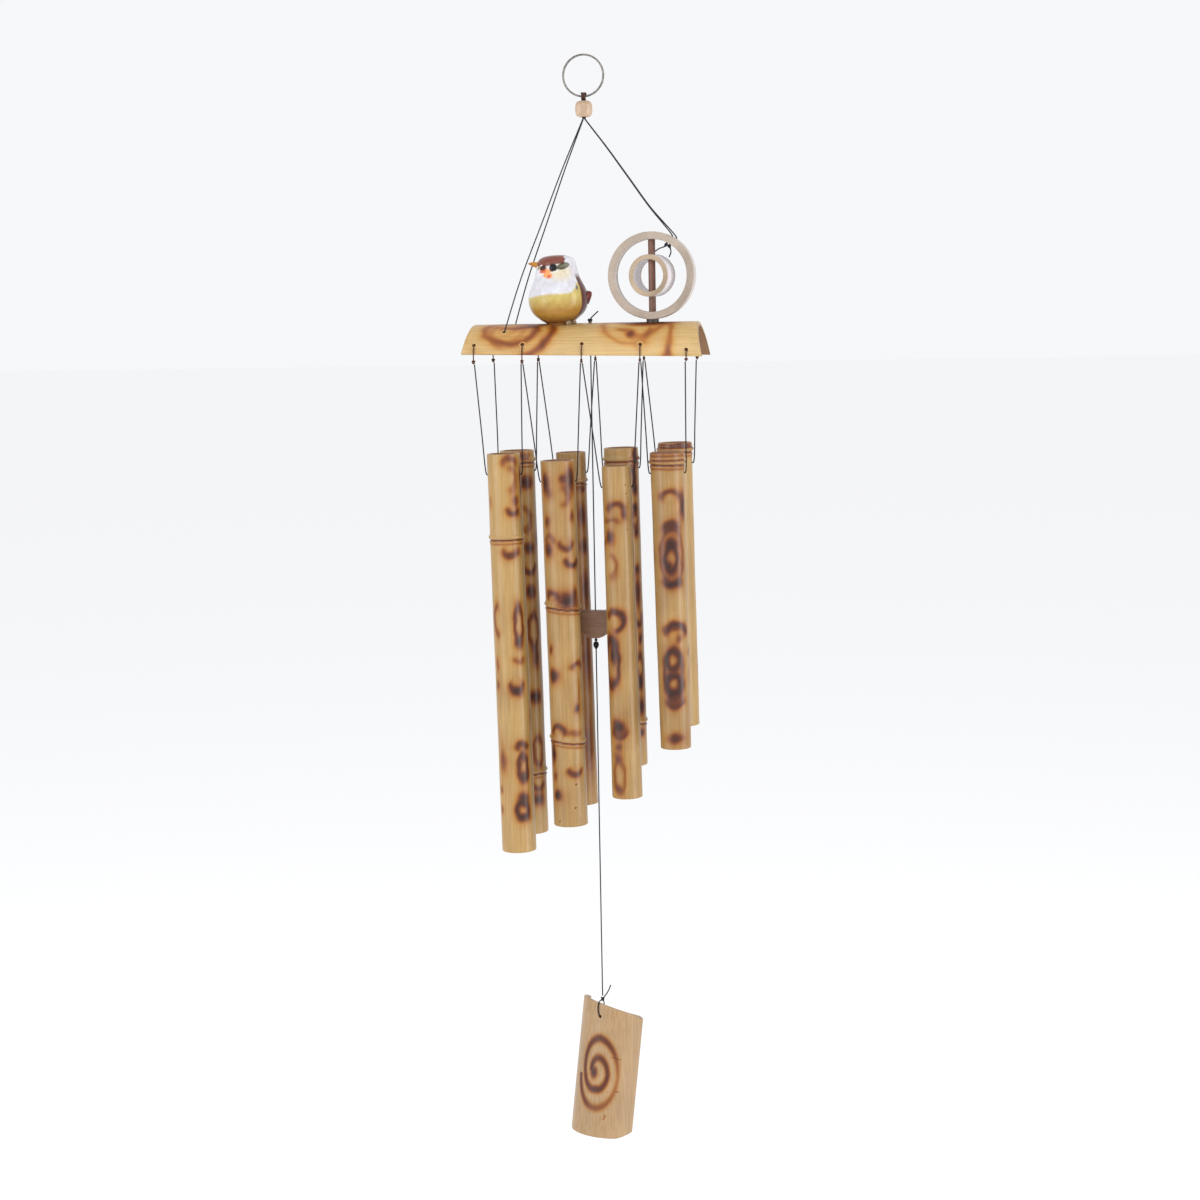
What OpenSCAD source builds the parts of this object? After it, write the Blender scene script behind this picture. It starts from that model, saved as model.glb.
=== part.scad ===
// Bamboo wind chime: eight scorched tubes in two rows under a half-round bamboo
// bar, with a painted bird and a pair of bamboo rings on top, a half-round striker
// between the rows and a bamboo wind catcher below.
// Millimetres. X runs along the bar, Y from front to back, Z up.
// The origin is the inside top of the steel ring, where a hook bears.

/* [Hanging ring] */
// Inside radius of the steel ring
ring_r = 13.6; // [11:0.2:18]
// Thickness of one turn of its wire
wire_d = 1.3; // [1:0.1:1.5]

/* [Bead] */
// Width of the wooden bead
bead_d = 12; // [10:0.5:16]
// Height of the bead
bead_h = 11.2; // [9:0.2:12]

/* [Bar] */
// Outside radius of the split bamboo of the bar
bar_r = 23.8; // [22:0.2:26]
// Wall thickness of the bar
bar_wall = 3.2; // [2.5:0.1:4]
// Drop from the hook to the ridge of the bar
ridge_drop = 185; // [180:1:200]
// Left and right end of the bar's lower edge
bar_left = 87.3; // [84:0.1:95]
bar_right = 84.3; // [82:0.1:95]
// How much shorter the ridge is than the lower edge, at each end
bar_slant = 5; // [0:0.5:8]

/* [Tubes] */
// Wall thickness of the tubes
tube_wall = 2.6; // [2:0.1:3.2]
// Lean of the hanging tubes from the plumb line, in degrees
tube_lean = 1; // [0:0.1:1.2]
// Drop from a tube's top to its two cord holes
cord_hole_drop = 14; // [13:0.5:18]

/* [Cords] */
// Thickness of the waxed cord
cord_d = 0.9; // [0.7:0.1:1]
// Drop from the hook to the knots that the tubes hang from
knot_drop = 211; // [211:0.5:213]

/* [Rings on the bar] */
// Outside radius of the big bamboo ring
big_r = 30.5; // [29:0.1:31]
// Outside radius of the small bamboo ring
small_r = 14.7; // [12:0.1:16]
// Turn of the small ring on its post, in degrees
small_turn = 13.5; // [0:0.5:90]

/* [Striker] */
// Drop from the hook to the striker's flat top
striker_drop = 390.6; // [385:0.2:400]
// Width, height and thickness of the striker
striker_w = 32; // [24:1:36]
striker_h = 20; // [14:1:24]
striker_t = 9; // [6:0.5:9]

/* [Wind catcher] */
// Drop from the hook to the knot over the wind catcher
catcher_drop = 680; // [660:1:700]
// Length of the wind catcher
catcher_len = 99; // [90:1:110]
// Outside radius of its split bamboo
catcher_r = 24; // [22:0.2:26]

/* [Hidden] */
cord_r = cord_d / 2;
cord_sides = 8;
gap = 0.3;                  // clearance between pieces that move apart
drill_r = 1.1;              // cord holes in the bamboo
round_fn = 64;

// Hanging ring and its lashing
ring_mean = ring_r + wire_d / 2;
turn_pitch = wire_d * 0.92; // the two turns of wire lie pressed together
ring_z = -ring_r;
pivot_z = ring_z - ring_mean;
loop_r = turn_pitch / 2 + wire_d / 2 + 0.6 + cord_r;
loop_pitch = 1.9;
bead_top = pivot_z - loop_r - cord_r - gap;
bead_bottom = bead_top - bead_h;
bead_bore = 1.8;

// Bar: its bamboo axis lies along X at bar_z, its ridge at ridge_z
ridge_z = -ridge_drop;
bar_z = ridge_z - bar_r;
edge_left_z = ridge_z - 20.4;
edge_right_z = ridge_z - 24.2;
row_y = bar_r + cord_r + 0.05;
edge_lift = 0.3;            // how far a tie bows out on its way over the lower edge
knot_z = -knot_drop;
knot_r = 1.3;
FRONT = 0;
BACK = 1;
row_sign = [-1, 1];
// Where the five cord holes of each row sit along the bar, and how far round it
hole_x = [[-78, -43, -0.5, 41, 73.5], [-75, -41.5, 0.5, 36, 74.5]];
hole_turn = [[66, 66, 66, 69, 79], [66, 66, 66, 66, 66]];
hanger_x = -57.5;
hanger_turn = 39;

// Tubes: place and size of each, front row then back row
tube_x = [[-58, -19, 23, 59], [-59, -19, 18, 57.5]];
tube_top = [[-275.5, -280.5, -284.5, -275], [-276.5, -278, -275, -271.5]];
tube_len = [[287, 262, 237, 210], [284, 260, 233, 206]];
tube_r1 = [[11.7, 12.1, 10.2, 11.8], [12.4, 10.8, 12.3, 12.2]];
tube_r2 = [[12.3, 12.2, 10.8, 10.8], [12.2, 10.9, 11.9, 11.8]];
tube_nodes = [[[59], [103, 199], [], [7]], [[7, 237], [20.5], [8, 200], [5]]];
node_bulge = 0.9;
node_wall = 2.5;            // diaphragm inside a tube at each node
node_bore = 4;              // hole knocked through each diaphragm
strand_dx = 0.65;           // half the distance between two strands at a knot
strand_off = node_bulge + 0.15;  // gap between a strand and the tube's side above its hole

// Rings on their post
post_x = 46.6;
post_r = 2.5;
big_z = ridge_z + 1.8 + big_r;
big_wall = 5.2;
big_depth = 12;
small_wall = 3.4;
small_depth = 15;
right_turn = [27, 31];      // where the two right hanger cords pass the big ring
right_y = [-3, 3];

// Bird
bird_x = -20.2;
bird_tilt = -2.3;           // head leans towards -X
// Outline of the bird: [radius, height over the ridge]
bird_outline = [[0, -8], [11, -8], [11, 1.8], [13, 2.8], [14.6, 4], [16.6, 5.5], [18, 7],
    [19.3, 9], [20.2, 11], [20.9, 14], [21.2, 17], [20.9, 20], [20.2, 22.6], [19, 25.6],
    [17.6, 28.4], [16.4, 31], [15.4, 34], [14.6, 38], [14, 41], [13.2, 43.6], [12.1, 45.2],
    [10.2, 46.5], [7.5, 47.4], [4, 47.9], [0, 48]];
beak_z = ridge_z + 40.9;

// Striker string and what hangs from it
string_x = 1.7;
ridge_knot_r = 1.6;
ridge_pivot_z = ridge_z + 0.8;
striker_z = -striker_drop;
striker_bottom = striker_z - striker_h;
link_r = 1.9;
link_z = striker_bottom - 5.2;
link_pivot_z = link_z + link_r;
tie_pivot_z = link_z - link_r;
catcher_knot_z = -catcher_drop;
catcher_wall = 3.2;
catcher_turn = -18;
catcher_lean = 5.4;         // lower end towards -X
catcher_tilt = -7;          // lower end towards the front, over its own weight
catcher_slope = 12;         // slant of the sawn top, front edge highest

// ---- Cords --------------------------------------------------------------

function unit(v) = v / norm(v);
function place(p) = [p.x, p.y, p.z];

// Ring of points round the path at point i; a path point is [x, y, z, radius]
function cord_ring(path, i, side) =
    let (before = place(path[max(i - 1, 0)]),
         after = place(path[min(i + 1, len(path) - 1)]),
         along = unit(after - before),
         u = unit(cross(along, side)),
         v = cross(along, u))
    [for (k = [0:cord_sides - 1])
        let (a = 360 * k / cord_sides)
        place(path[i]) + path[i][3] * (cos(a) * u + sin(a) * v)];

// A cord swept along its path; side is any direction that the path never takes
module cord(path, side = [0, 1, 0]) {
    n = cord_sides;
    last = len(path) - 1;
    polyhedron(
        points = [for (i = [0:last]) each cord_ring(path, i, side)],
        faces = concat(
            [[for (k = [0:n - 1]) k]],
            [[for (k = [0:n - 1]) last * n + n - 1 - k]],
            [for (i = [0:last - 1]) for (k = [0:n - 1])
                [i * n + k, (i + 1) * n + k, (i + 1) * n + (k + 1) % n]],
            [for (i = [0:last - 1]) for (k = [0:n - 1])
                [i * n + k, (i + 1) * n + (k + 1) % n, i * n + (k + 1) % n]]));
}

// Path points of a knot of radius r round p, on a cord that runs along d
function knot(p, d, r) =
    [for (s = [[-0.95, 0.45], [-0.6, 0.85], [0, 1], [0.6, 0.85], [0.95, 0.45]])
        let (q = p + d * s[0] * r) [q.x, q.y, q.z, s[1] * r]];

function thin(p) = [p.x, p.y, p.z, cord_r];

// ---- Hanger -------------------------------------------------------------

module hanging_ring() {
    color("dimgray")
    translate([0, 0, ring_z])
    rotate([90, 0, 0])
    rotate_extrude($fn = 96) {
        for (s = [-1, 1])
            translate([ring_mean, s * turn_pitch / 2])
            circle(d = wire_d, $fn = 24);
        translate([ring_mean, 0]) square([wire_d * 0.7, turn_pitch], center = true);
    }
}

// Three turns of cord round the ring, and the cords' run down through the bead
module ring_lashing() {
    color("saddlebrown") {
        for (s = [-1, 0, 1])
            translate([s * loop_pitch / 2, 0, pivot_z])
            rotate([0, 90, 0])
            rotate_extrude($fn = 48) translate([loop_r, 0]) circle(r = cord_r + 0.1, $fn = 16);
        translate([0, 0, bead_bottom - 0.4])
        cylinder(r = bead_bore - 0.1, h = pivot_z - loop_r + cord_r - bead_bottom, $fn = 32);
    }
}

module top_bead() {
    flat_r = bead_d * 0.27;
    color("burlywood")
    translate([0, 0, bead_bottom])
    difference() {
        intersection() {
            translate([0, 0, bead_h / 2]) sphere(d = bead_d * 1.14, $fn = round_fn);
            cylinder(d = bead_d, h = bead_h, $fn = round_fn);
        }
        translate([0, 0, -1]) cylinder(r = bead_bore, h = bead_h + 2, $fn = 32);
    }
}

// Point on the bar's round wall, r from its axis, at an angle from the top
function on_bar(x, turn, r) = [x, r * sin(turn), bar_z + r * cos(turn)];

function left_path(row) =
    let (y = row_sign[row], turn = y * hanger_turn,
         inner = on_bar(hanger_x, turn, bar_r - bar_wall - 1.6),
         d = unit(on_bar(0, turn, -1) - on_bar(0, turn, 0)))
    concat(
        [thin([-0.9, 0.7 * y, bead_bottom - 0.4]), thin([-1.1, 0.8 * y, bead_bottom - 2.4]),
         thin([-15, 4.4 * y, -77]), thin([-30, 8.1 * y, -115]), thin([-45, 11.9 * y, -153]),
         thin([-56.5, 14.8 * y, ridge_z - 3]),
         thin(on_bar(hanger_x, turn, bar_r - 0.6)),
         thin(on_bar(hanger_x, turn, bar_r - bar_wall))],
        knot(inner, d, knot_r));

// Point on the big ring, r from its axis, at an angle from the top
function on_ring(turn, y, r) = [post_x + r * sin(turn), y, big_z + r * cos(turn)];

function right_path(row) =
    let (turn = right_turn[row], y = right_y[row], s = row_sign[row],
         inner = on_ring(turn, y, big_r - big_wall - 1.7),
         d = unit(on_ring(turn, 0, -1) - on_ring(turn, 0, 0)))
    concat(
        [thin([0.9, 0.7 * s, bead_bottom - 0.4]), thin([1.4, 0.8 * s, bead_bottom - 2.2]),
         thin([16, 1.4 * s, -63.5]), thin([31, 2 * s, -84.5]), thin([46, 2.6 * s, -105.5]),
         thin(on_ring(turn, y, big_r + 1.5)),
         thin(on_ring(turn, y, big_r - 1)),
         thin(on_ring(turn, y, big_r - big_wall))],
        knot(inner, d, knot_r),
        row == FRONT
            ? [thin(inner + [-1.4, -0.8, -1.4]), thin(inner + [-4.5, -2.4, -2.6]),
               thin(inner + [-7.5, -3.2, -4.6])]
            : [thin(inner + [0.6, 0.6, -1.8]), thin(inner + [0.9, 0.8, -4.6]),
               thin(inner + [-0.4, 0.6, -7.6])]);

module hanger_cord(path) {
    color("darkslategray") cord(path);
}

// ---- Bar and what stands on it ------------------------------------------

module bar() {
    length = bar_left + bar_right;
    color("burlywood")
    difference() {
        intersection() {
            translate([-bar_left, 0, bar_z]) rotate([0, 90, 0])
                cylinder(r = bar_r, h = length, $fn = 128);
            rotate([90, 0, 0])
            linear_extrude(height = 3 * bar_r, center = true)
            polygon([[-bar_left, edge_left_z], [-bar_left + bar_slant, ridge_z + 1],
                     [bar_right - bar_slant, ridge_z + 1], [bar_right, edge_right_z]]);
        }
        translate([-bar_left - 1, 0, bar_z]) rotate([0, 90, 0])
            cylinder(r = bar_r - bar_wall, h = length + 2, $fn = 128);
        for (row = [FRONT, BACK]) {
            for (i = [0:4]) bar_drill(hole_x[row][i], row_sign[row] * hole_turn[row][i], drill_r);
            bar_drill(hanger_x, row_sign[row] * hanger_turn, drill_r);
        }
        bar_drill(string_x, 0, drill_r + 0.1);
        bar_drill(post_x, 0, post_r + 0.05);
    }
}

module bar_drill(x, turn, r) {
    translate([x, 0, bar_z]) rotate([-turn, 0, 0])
        translate([0, 0, bar_r - bar_wall - 2]) cylinder(r = r, h = bar_wall + 4, $fn = 32);
}

module bar_round() {
    translate([-bar_left, 0, bar_z]) rotate([0, 90, 0])
        cylinder(r = bar_r, h = bar_left + bar_right, $fn = 128);
}

// One casting: body and head, beak, tail and two toes, on a saddle that fits the ridge
module bird() {
    color("gold")
    difference() {
        union() {
            translate([bird_x, 0, ridge_z]) rotate([0, bird_tilt, 0])
                rotate_extrude($fn = 96) polygon(bird_outline);
            translate([bird_x - 14.2, -2.6, beak_z]) rotate([0, -80, 12])
                cylinder(r1 = 2.6, r2 = 0.5, h = 7.4, $fn = 24);
            translate([bird_x + 17, 3, ridge_z + 19]) rotate([0, 62, 8])
                cylinder(r1 = 6, r2 = 2, h = 6, $fn = 24);
            for (p = [[9.8, -8.4], [13, -5.6]])
                translate([bird_x + p.x, p.y, ridge_z - 0.2]) sphere(r = 2.2, $fn = 24);
        }
        bar_round();
    }
}

module big_ring() {
    color("rosybrown")
    difference() {
        translate([post_x, 0, big_z]) rotate([90, 0, 0])
            cylinder(r = big_r, h = big_depth, center = true, $fn = 128);
        translate([post_x, 0, big_z]) rotate([90, 0, 0])
            cylinder(r = big_r - big_wall, h = big_depth + 2, center = true, $fn = 128);
        translate([post_x, 0, big_z]) cylinder(r = post_r + 0.05, h = 3 * big_r, center = true, $fn = 48);
        for (row = [FRONT, BACK])
            translate([post_x, right_y[row], big_z]) rotate([0, right_turn[row], 0])
            cylinder(r = drill_r, h = big_r + 2, $fn = 32);
    }
}

module ring_post() {
    color("sienna")
    translate([post_x, 0, ridge_z - bar_wall - 1])
    cylinder(r = post_r, h = big_z + big_r - 0.4 - ridge_z + bar_wall + 1, $fn = 48);
}

// Collar of glue between the big ring and the ridge
module ring_glue() {
    color("black")
    difference() {
        translate([post_x, 0, ridge_z - 1]) cylinder(r = 4.4, h = 3.4, $fn = 48);
        bar_round();
        translate([post_x, 0, big_z]) rotate([90, 0, 0])
            cylinder(r = big_r, h = big_depth + 2, center = true, $fn = 128);
        translate([post_x, 0, ridge_z - 5]) cylinder(r = post_r + 0.05, h = 12, $fn = 48);
    }
}

module small_ring() {
    color("tan")
    translate([post_x, 0, big_z]) rotate([0, 0, -small_turn])
    difference() {
        rotate([90, 0, 0]) cylinder(r = small_r, h = small_depth, center = true, $fn = 96);
        rotate([90, 0, 0])
            cylinder(r = small_r - small_wall, h = small_depth + 2, center = true, $fn = 96);
        cylinder(r = post_r + 0.08, h = 3 * small_r, center = true, $fn = 48);
    }
}

// Cord from a stop knot inside the bar, out of its hole and down over the lower
// edge to the knot that two strands hang from
function tie_path(row, i) =
    let (s = row_sign[row], x = hole_x[row][i], turn = hole_turn[row][i],
         inner = on_bar(x, s * turn, bar_r - bar_wall - 1.6),
         d = unit(on_bar(0, s * turn, 1) - on_bar(0, s * turn, 0)))
    concat(
        knot(inner, d, knot_r),
        [thin(on_bar(x, s * turn, bar_r - bar_wall)),
         thin(on_bar(x, s * turn, bar_r + 0.2)),
         thin(on_bar(x, s * (turn + 3), row_y + edge_lift)),
         thin(on_bar(x, s * (turn + 90) / 2, row_y + edge_lift)),
         thin([x, s * row_y, bar_z - 0.4])],
        knot([x, s * row_y, knot_z], [0, 0, -1], knot_r));

module ties(row) {
    color("darkslategray")
    for (i = [0:4]) cord(tie_path(row, i), side = [1, 0, 0]);
}

// ---- Tubes --------------------------------------------------------------

// Puts a shape drawn round Z, with its top at z = 0, where tube i of a row hangs
module hung(row, i) {
    translate([tube_x[row][i], row_sign[row] * row_y, tube_top[row][i]])
    rotate([0, -tube_lean, 0])
    children();
}

// Outside radius of a tube at a depth below its top
function tube_r(row, i, depth) =
    tube_r1[row][i] + (tube_r2[row][i] - tube_r1[row][i]) * depth / tube_len[row][i];

module tube(row, i) {
    len = tube_len[row][i];
    color("burlywood")
    hung(row, i)
    difference() {
        union() {
            translate([0, 0, -len])
                cylinder(r1 = tube_r2[row][i], r2 = tube_r1[row][i], h = len, $fn = 96);
            for (depth = tube_nodes[row][i])
                translate([0, 0, -depth]) rotate_extrude($fn = 96)
                translate([tube_r(row, i, depth) - 1.2 + node_bulge / 2, 0])
                circle(r = 1.2 + node_bulge / 2, $fn = 24);
        }
        difference() {
            translate([0, 0, -len - 1])
                cylinder(r1 = tube_r2[row][i] - tube_wall, r2 = tube_r1[row][i] - tube_wall,
                         h = len + 2, $fn = 96);
            for (depth = tube_nodes[row][i])
                translate([0, 0, -depth - node_wall / 2])
                cylinder(r = tube_r1[row][i] + 2, h = node_wall, $fn = 96);
        }
        translate([0, 0, -len - 1]) cylinder(r = node_bore, h = len + 2, $fn = 48);
        translate([0, 0, -cord_hole_drop]) rotate([0, 90, 0])
            cylinder(r = drill_r, h = 40, center = true, $fn = 32);
    }
}

// Point in the frame of a hanging tube, carried to where the tube hangs
function hung_point(row, i, p) =
    [tube_x[row][i] + p.x * cos(tube_lean) - p.z * sin(tube_lean),
     row_sign[row] * row_y + p.y,
     tube_top[row][i] + p.x * sin(tube_lean) + p.z * cos(tube_lean)];

// Strand from a knot under the bar to a stop knot inside the tube; side is -1 or 1
function strand_path(row, i, side) =
    let (r = tube_r(row, i, cord_hole_drop), drop = cord_hole_drop,
         x = hole_x[row][i + (side + 1) / 2] - side * strand_dx,
         start = [x, row_sign[row] * row_y, knot_z - knot_r - gap],
         out = hung_point(row, i, [side * (r + cord_r + strand_off), 0, 1.2 - drop]),
         third = (out - start) / 3,
         wall = hung_point(row, i, [side * (r - 0.9), 0, -drop]),
         inner = hung_point(row, i, [side * (r - tube_wall), 0, -drop]),
         stop = hung_point(row, i, [side * (r - tube_wall - 1.5), 0, -drop]))
    concat([thin(start), thin(start + third), thin(start + 2 * third), thin(out),
            thin(wall), thin(inner)],
           knot(stop, unit(stop - inner), knot_r));

module strand(row, i, side) {
    color("darkslategray") cord(strand_path(row, i, side));
}

// ---- Striker and wind catcher -------------------------------------------

module ridge_knot() {
    top = ridge_z + 1.5;
    color("black")
    cord(concat(
        knot([string_x, 0, top], [0, 0, 1], ridge_knot_r),
        [thin([string_x + 0.8, 0, top + 2]), thin([string_x + 2.6, -0.4, top + 3.6]),
         thin([string_x + 6, -0.8, top + 6.6])]));
}

module striker_cord() {
    top = ridge_z + 1.5 - ridge_knot_r - gap;
    color("darkslategray")
    cord(concat(
        [thin([string_x, 0, top]), thin([string_x, 0, -250]), thin([string_x, 0, -320]),
         thin([string_x, 0, striker_z]), thin([string_x, 0, striker_bottom - 0.2])],
        knot([string_x, 0, striker_bottom - 1.4], [0, 0, -1], 1.1)));
}

// Half-round puck with its flat side up, bored for the cord
module striker() {
    steps = 24;
    color("peru")
    translate([string_x, 0, striker_z])
    difference() {
        rotate([90, 0, 0])
        linear_extrude(height = striker_t, center = true)
        polygon([for (k = [0:steps])
            let (a = 180 * k / steps) [striker_w / 2 * cos(a), -striker_h * sin(a)]]);
        translate([0, 0, -striker_h - 1]) cylinder(r = 0.7, h = striker_h + 2, $fn = 32);
    }
}

module striker_link() {
    color("black")
    translate([string_x, 0, link_z]) rotate([90, 0, 0])
    rotate_extrude($fn = 48) translate([link_r, 0]) circle(r = cord_r, $fn = 16);
}

module catcher_cord() {
    color("darkslategray")
    cord([thin([string_x, 0, tie_pivot_z - cord_r - gap]), thin([string_x, 0, -480]),
          thin([string_x, 0, -540]), thin([string_x, 0, -600]), thin([string_x, 0, -640]),
          thin([string_x, 0, catcher_knot_z + 2 + gap])]);
}

// Carries a shape drawn round the catcher's knot, with its wall under the knot
module turned_catcher() {
    translate([string_x, 0, catcher_knot_z])
    rotate([catcher_tilt, catcher_lean, 0]) rotate([0, 0, catcher_turn])
    children();
}

rim_z = -3.4;               // top edge of the wall below the knot
tie_hole_z = -13;           // hole that the tie passes through
wall_y = catcher_wall / 2;

// Knot over the rim, and a loop down the front, through the hole and up the back
module catcher_tie() {
    color("black")
    turned_catcher()
    cord(concat(
        [thin([5.2, 0.6, 11]), thin([4, 0.5, 7]), thin([2, 0.2, 3])],
        knot([0, 0, 0], unit([-1, 0, -1.5]), 1.4),
        [thin([-0.5, -wall_y, -2.2]), thin([-0.9, -wall_y - 0.9, -4.4]),
         thin([-0.7, -wall_y - 0.95, -9]), thin([0, -wall_y - 0.75, -12.1]),
         thin([0, -0.9, tie_hole_z]), thin([0, 0.9, tie_hole_z]),
         thin([0, wall_y + 0.75, -12.3]), thin([0.3, wall_y + 0.9, -9]),
         thin([0.4, wall_y + 0.8, -4.6]), thin([0.4, wall_y + 0.1, -2.4])]), side = [1, 0, 0]);
}

// Outline of the half shell seen from the front: slanting top, rounded lower corners
module catcher_outline() {
    corner = 8;
    steps = 8;
    side = catcher_r + 1;
    low = rim_z - catcher_len;
    polygon(concat(
        [[-side, rim_z + 4.2], [side, rim_z - 4.2]],
        [for (k = [0:steps]) let (a = -90 * k / steps)
            [side - corner + corner * cos(a), low + corner + corner * sin(a)]],
        [for (k = [0:steps]) let (a = -90 - 90 * k / steps)
            [corner - side + corner * cos(a), low + corner + corner * sin(a)]]));
}

module wind_catcher() {
    axis_y = catcher_r - catcher_wall / 2;
    tall = catcher_len + 40;
    color("burlywood")
    turned_catcher()
    difference() {
        intersection() {
            translate([0, axis_y, -tall + 20]) cylinder(r = catcher_r, h = tall, $fn = 128);
            rotate([90, 0, 0]) translate([0, 0, -axis_y - 0.5])
                linear_extrude(height = 2 * catcher_r) catcher_outline();
            // the top is sawn off slantwise, so that the front stands highest
            translate([0, -wall_y, rim_z]) rotate([-catcher_slope, 0, 0])
                translate([-50, -20, -tall - 20]) cube([100, 120, tall + 20]);
        }
        translate([0, axis_y, -tall]) cylinder(r = catcher_r - catcher_wall, h = tall + 30, $fn = 128);
        translate([0, 0, tie_hole_z]) rotate([90, 0, 0])
            cylinder(r = drill_r, h = 3 * catcher_wall, center = true, $fn = 32);
    }
}

// ---- The parts ----------------------------------------------------------

hanging_ring();
ring_lashing();
top_bead();
hanger_cord(left_path(FRONT));  // hanger_cord_left_front
hanger_cord(left_path(BACK));  // hanger_cord_left_back
hanger_cord(right_path(FRONT));  // hanger_cord_right_front
hanger_cord(right_path(BACK));  // hanger_cord_right_back
bar();
bird();
big_ring();
ring_post();
ring_glue();
small_ring();
ties(FRONT);  // front_ties
ties(BACK);  // back_ties
for (i = [0:3]) {
    tube(FRONT, i);
    tube(BACK, i);
    strand(FRONT, i, -1);
    strand(FRONT, i, 1);
    strand(BACK, i, -1);
    strand(BACK, i, 1);
}
ridge_knot();
striker_cord();
striker();
striker_link();
catcher_cord();
catcher_tie();
wind_catcher();
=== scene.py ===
# %% [markdown]
# # A bamboo wind chime
#
# The finished object hangs from a steel ring: a bead, four cords, a half-round bamboo
# bar with a painted bird and two bamboo rings on it, eight scorched bamboo tubes, a
# striker and a wind catcher. The solid model gives every position. This lesson makes
# the skins that are seen: bamboo with its joints and burn marks, twisted cord, glazed
# paint. Nearly all of it is one idea, a surface worked out on a grid of two parameters.

# %% Load the solid model and keep its meshes
import math

import bpy
import numpy as np
from mathutils import Matrix, Vector


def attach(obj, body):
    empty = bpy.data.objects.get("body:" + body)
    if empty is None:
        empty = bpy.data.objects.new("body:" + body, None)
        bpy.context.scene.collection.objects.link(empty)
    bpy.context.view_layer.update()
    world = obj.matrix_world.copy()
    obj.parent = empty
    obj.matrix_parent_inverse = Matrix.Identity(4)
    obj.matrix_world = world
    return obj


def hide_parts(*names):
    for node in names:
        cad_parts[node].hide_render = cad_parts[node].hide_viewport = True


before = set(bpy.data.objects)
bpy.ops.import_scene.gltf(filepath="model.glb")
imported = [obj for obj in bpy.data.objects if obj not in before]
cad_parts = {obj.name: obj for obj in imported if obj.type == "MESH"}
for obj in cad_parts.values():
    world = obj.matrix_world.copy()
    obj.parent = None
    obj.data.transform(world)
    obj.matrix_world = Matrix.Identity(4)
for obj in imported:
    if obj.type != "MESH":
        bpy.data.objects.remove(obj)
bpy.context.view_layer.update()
MM = 0.001

# %% [markdown]
# ## Camera, light and floor
#
# A long lens from a metre and a half away keeps the tubes nearly parallel. The camera
# stands a little to the right of the bar's front, a little above its middle, and is
# rolled by one degree, so that hanging cords lean slightly in the picture. The light
# is one large soft panel on each side and a pale sky: side light draws a thin bright
# line down each lacquered tube.

# %% Camera
AZIMUTH, ELEVATION, ROLL = map(math.radians, (10.5, 7.6, 1.05))
CAMERA_AT = (0.2913, -1.5438, -0.1736)     # metres from the hook
forward = np.array([-math.sin(AZIMUTH) * math.cos(ELEVATION),
                    math.cos(AZIMUTH) * math.cos(ELEVATION), -math.sin(ELEVATION)])
level_right = np.array([math.cos(AZIMUTH), math.sin(AZIMUTH), 0.0])
level_up = np.cross(level_right, forward)
right = level_right * math.cos(ROLL) - level_up * math.sin(ROLL)
up = level_right * math.sin(ROLL) + level_up * math.cos(ROLL)
camera = bpy.data.objects.new("camera", bpy.data.cameras.new("camera"))
camera.data.lens, camera.data.sensor_width = 66, 36
camera.matrix_world = Matrix([[right[k], up[k], -forward[k], CAMERA_AT[k]] for k in range(3)]
                             + [[0, 0, 0, 1]])
bpy.context.collection.objects.link(camera)
bpy.context.scene.camera = camera
bpy.context.scene.view_settings.view_transform = "Standard"     # paints keep their own colour
print("camera looks along", forward.round(3))


# %% Soft panels and a pale sky
def soft_panel(name, at, towards, width, height, power):
    """A rectangular area light at one point that faces another."""
    light = bpy.data.lights.new(name, "AREA")
    light.shape, light.size, light.size_y, light.energy = "RECTANGLE", width, height, power
    panel = bpy.data.objects.new(name, light)
    away = (Vector(at) - Vector(towards)).to_track_quat("Z", "Y")
    panel.matrix_world = Matrix.Translation(at) @ away.to_matrix().to_4x4()
    bpy.context.collection.objects.link(panel)


soft_panel("left_panel", (-1.5, -1.5, 0.1), (0, 0, -0.35), 1.0, 1.8, 24)
soft_panel("right_panel", (1.7, -0.5, -0.1), (0, 0, -0.4), 0.7, 1.8, 22)
soft_panel("front_panel", (0.3, -2.4, 0.9), (0, 0, -0.4), 1.6, 1.2, 18)
sky = bpy.data.worlds.new("pale sky")
bpy.context.scene.world = sky
sky.use_nodes = True
sky_light = sky.node_tree.nodes["Background"].inputs
sky_light["Color"].default_value, sky_light["Strength"].default_value = (0.98, 0.985, 1, 1), 0.95

# %% [markdown]
# ## From a grid to a mesh
#
# Every skin below is a table of points, row by row. Joining each point with its three
# neighbours gives square faces. Where a surface closes on itself, the last row or
# column joins the first. The UV map keeps the two parameters, so a material can follow
# the surface. A shape wound the wrong way has a negative volume, and is turned round.


# %% Turn a grid of points into a piece
def grid_faces(rows, cols, closed_rows=False, closed_cols=True):
    """Every square's corner numbers, and each corner's row and column before wrapping."""
    i, j = np.meshgrid(np.arange(rows if closed_rows else rows - 1),
                       np.arange(cols if closed_cols else cols - 1), indexing="ij")
    i, j = i.ravel(), j.ravel()
    ci = np.stack([i, i, i + 1, i + 1], axis=1)
    cj = np.stack([j, j + 1, j + 1, j], axis=1)
    return (ci % rows) * cols + cj % cols, ci, cj


def signed_volume(points, faces):
    """Six times the volume inside: the sum over each face's two triangles of a . (b x c)."""
    a, b, c, d = (points[faces[:, k]] for k in range(4))
    return np.einsum("ij,ij->", a, np.cross(b, c)) + np.einsum("ij,ij->", a, np.cross(c, d))


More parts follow.
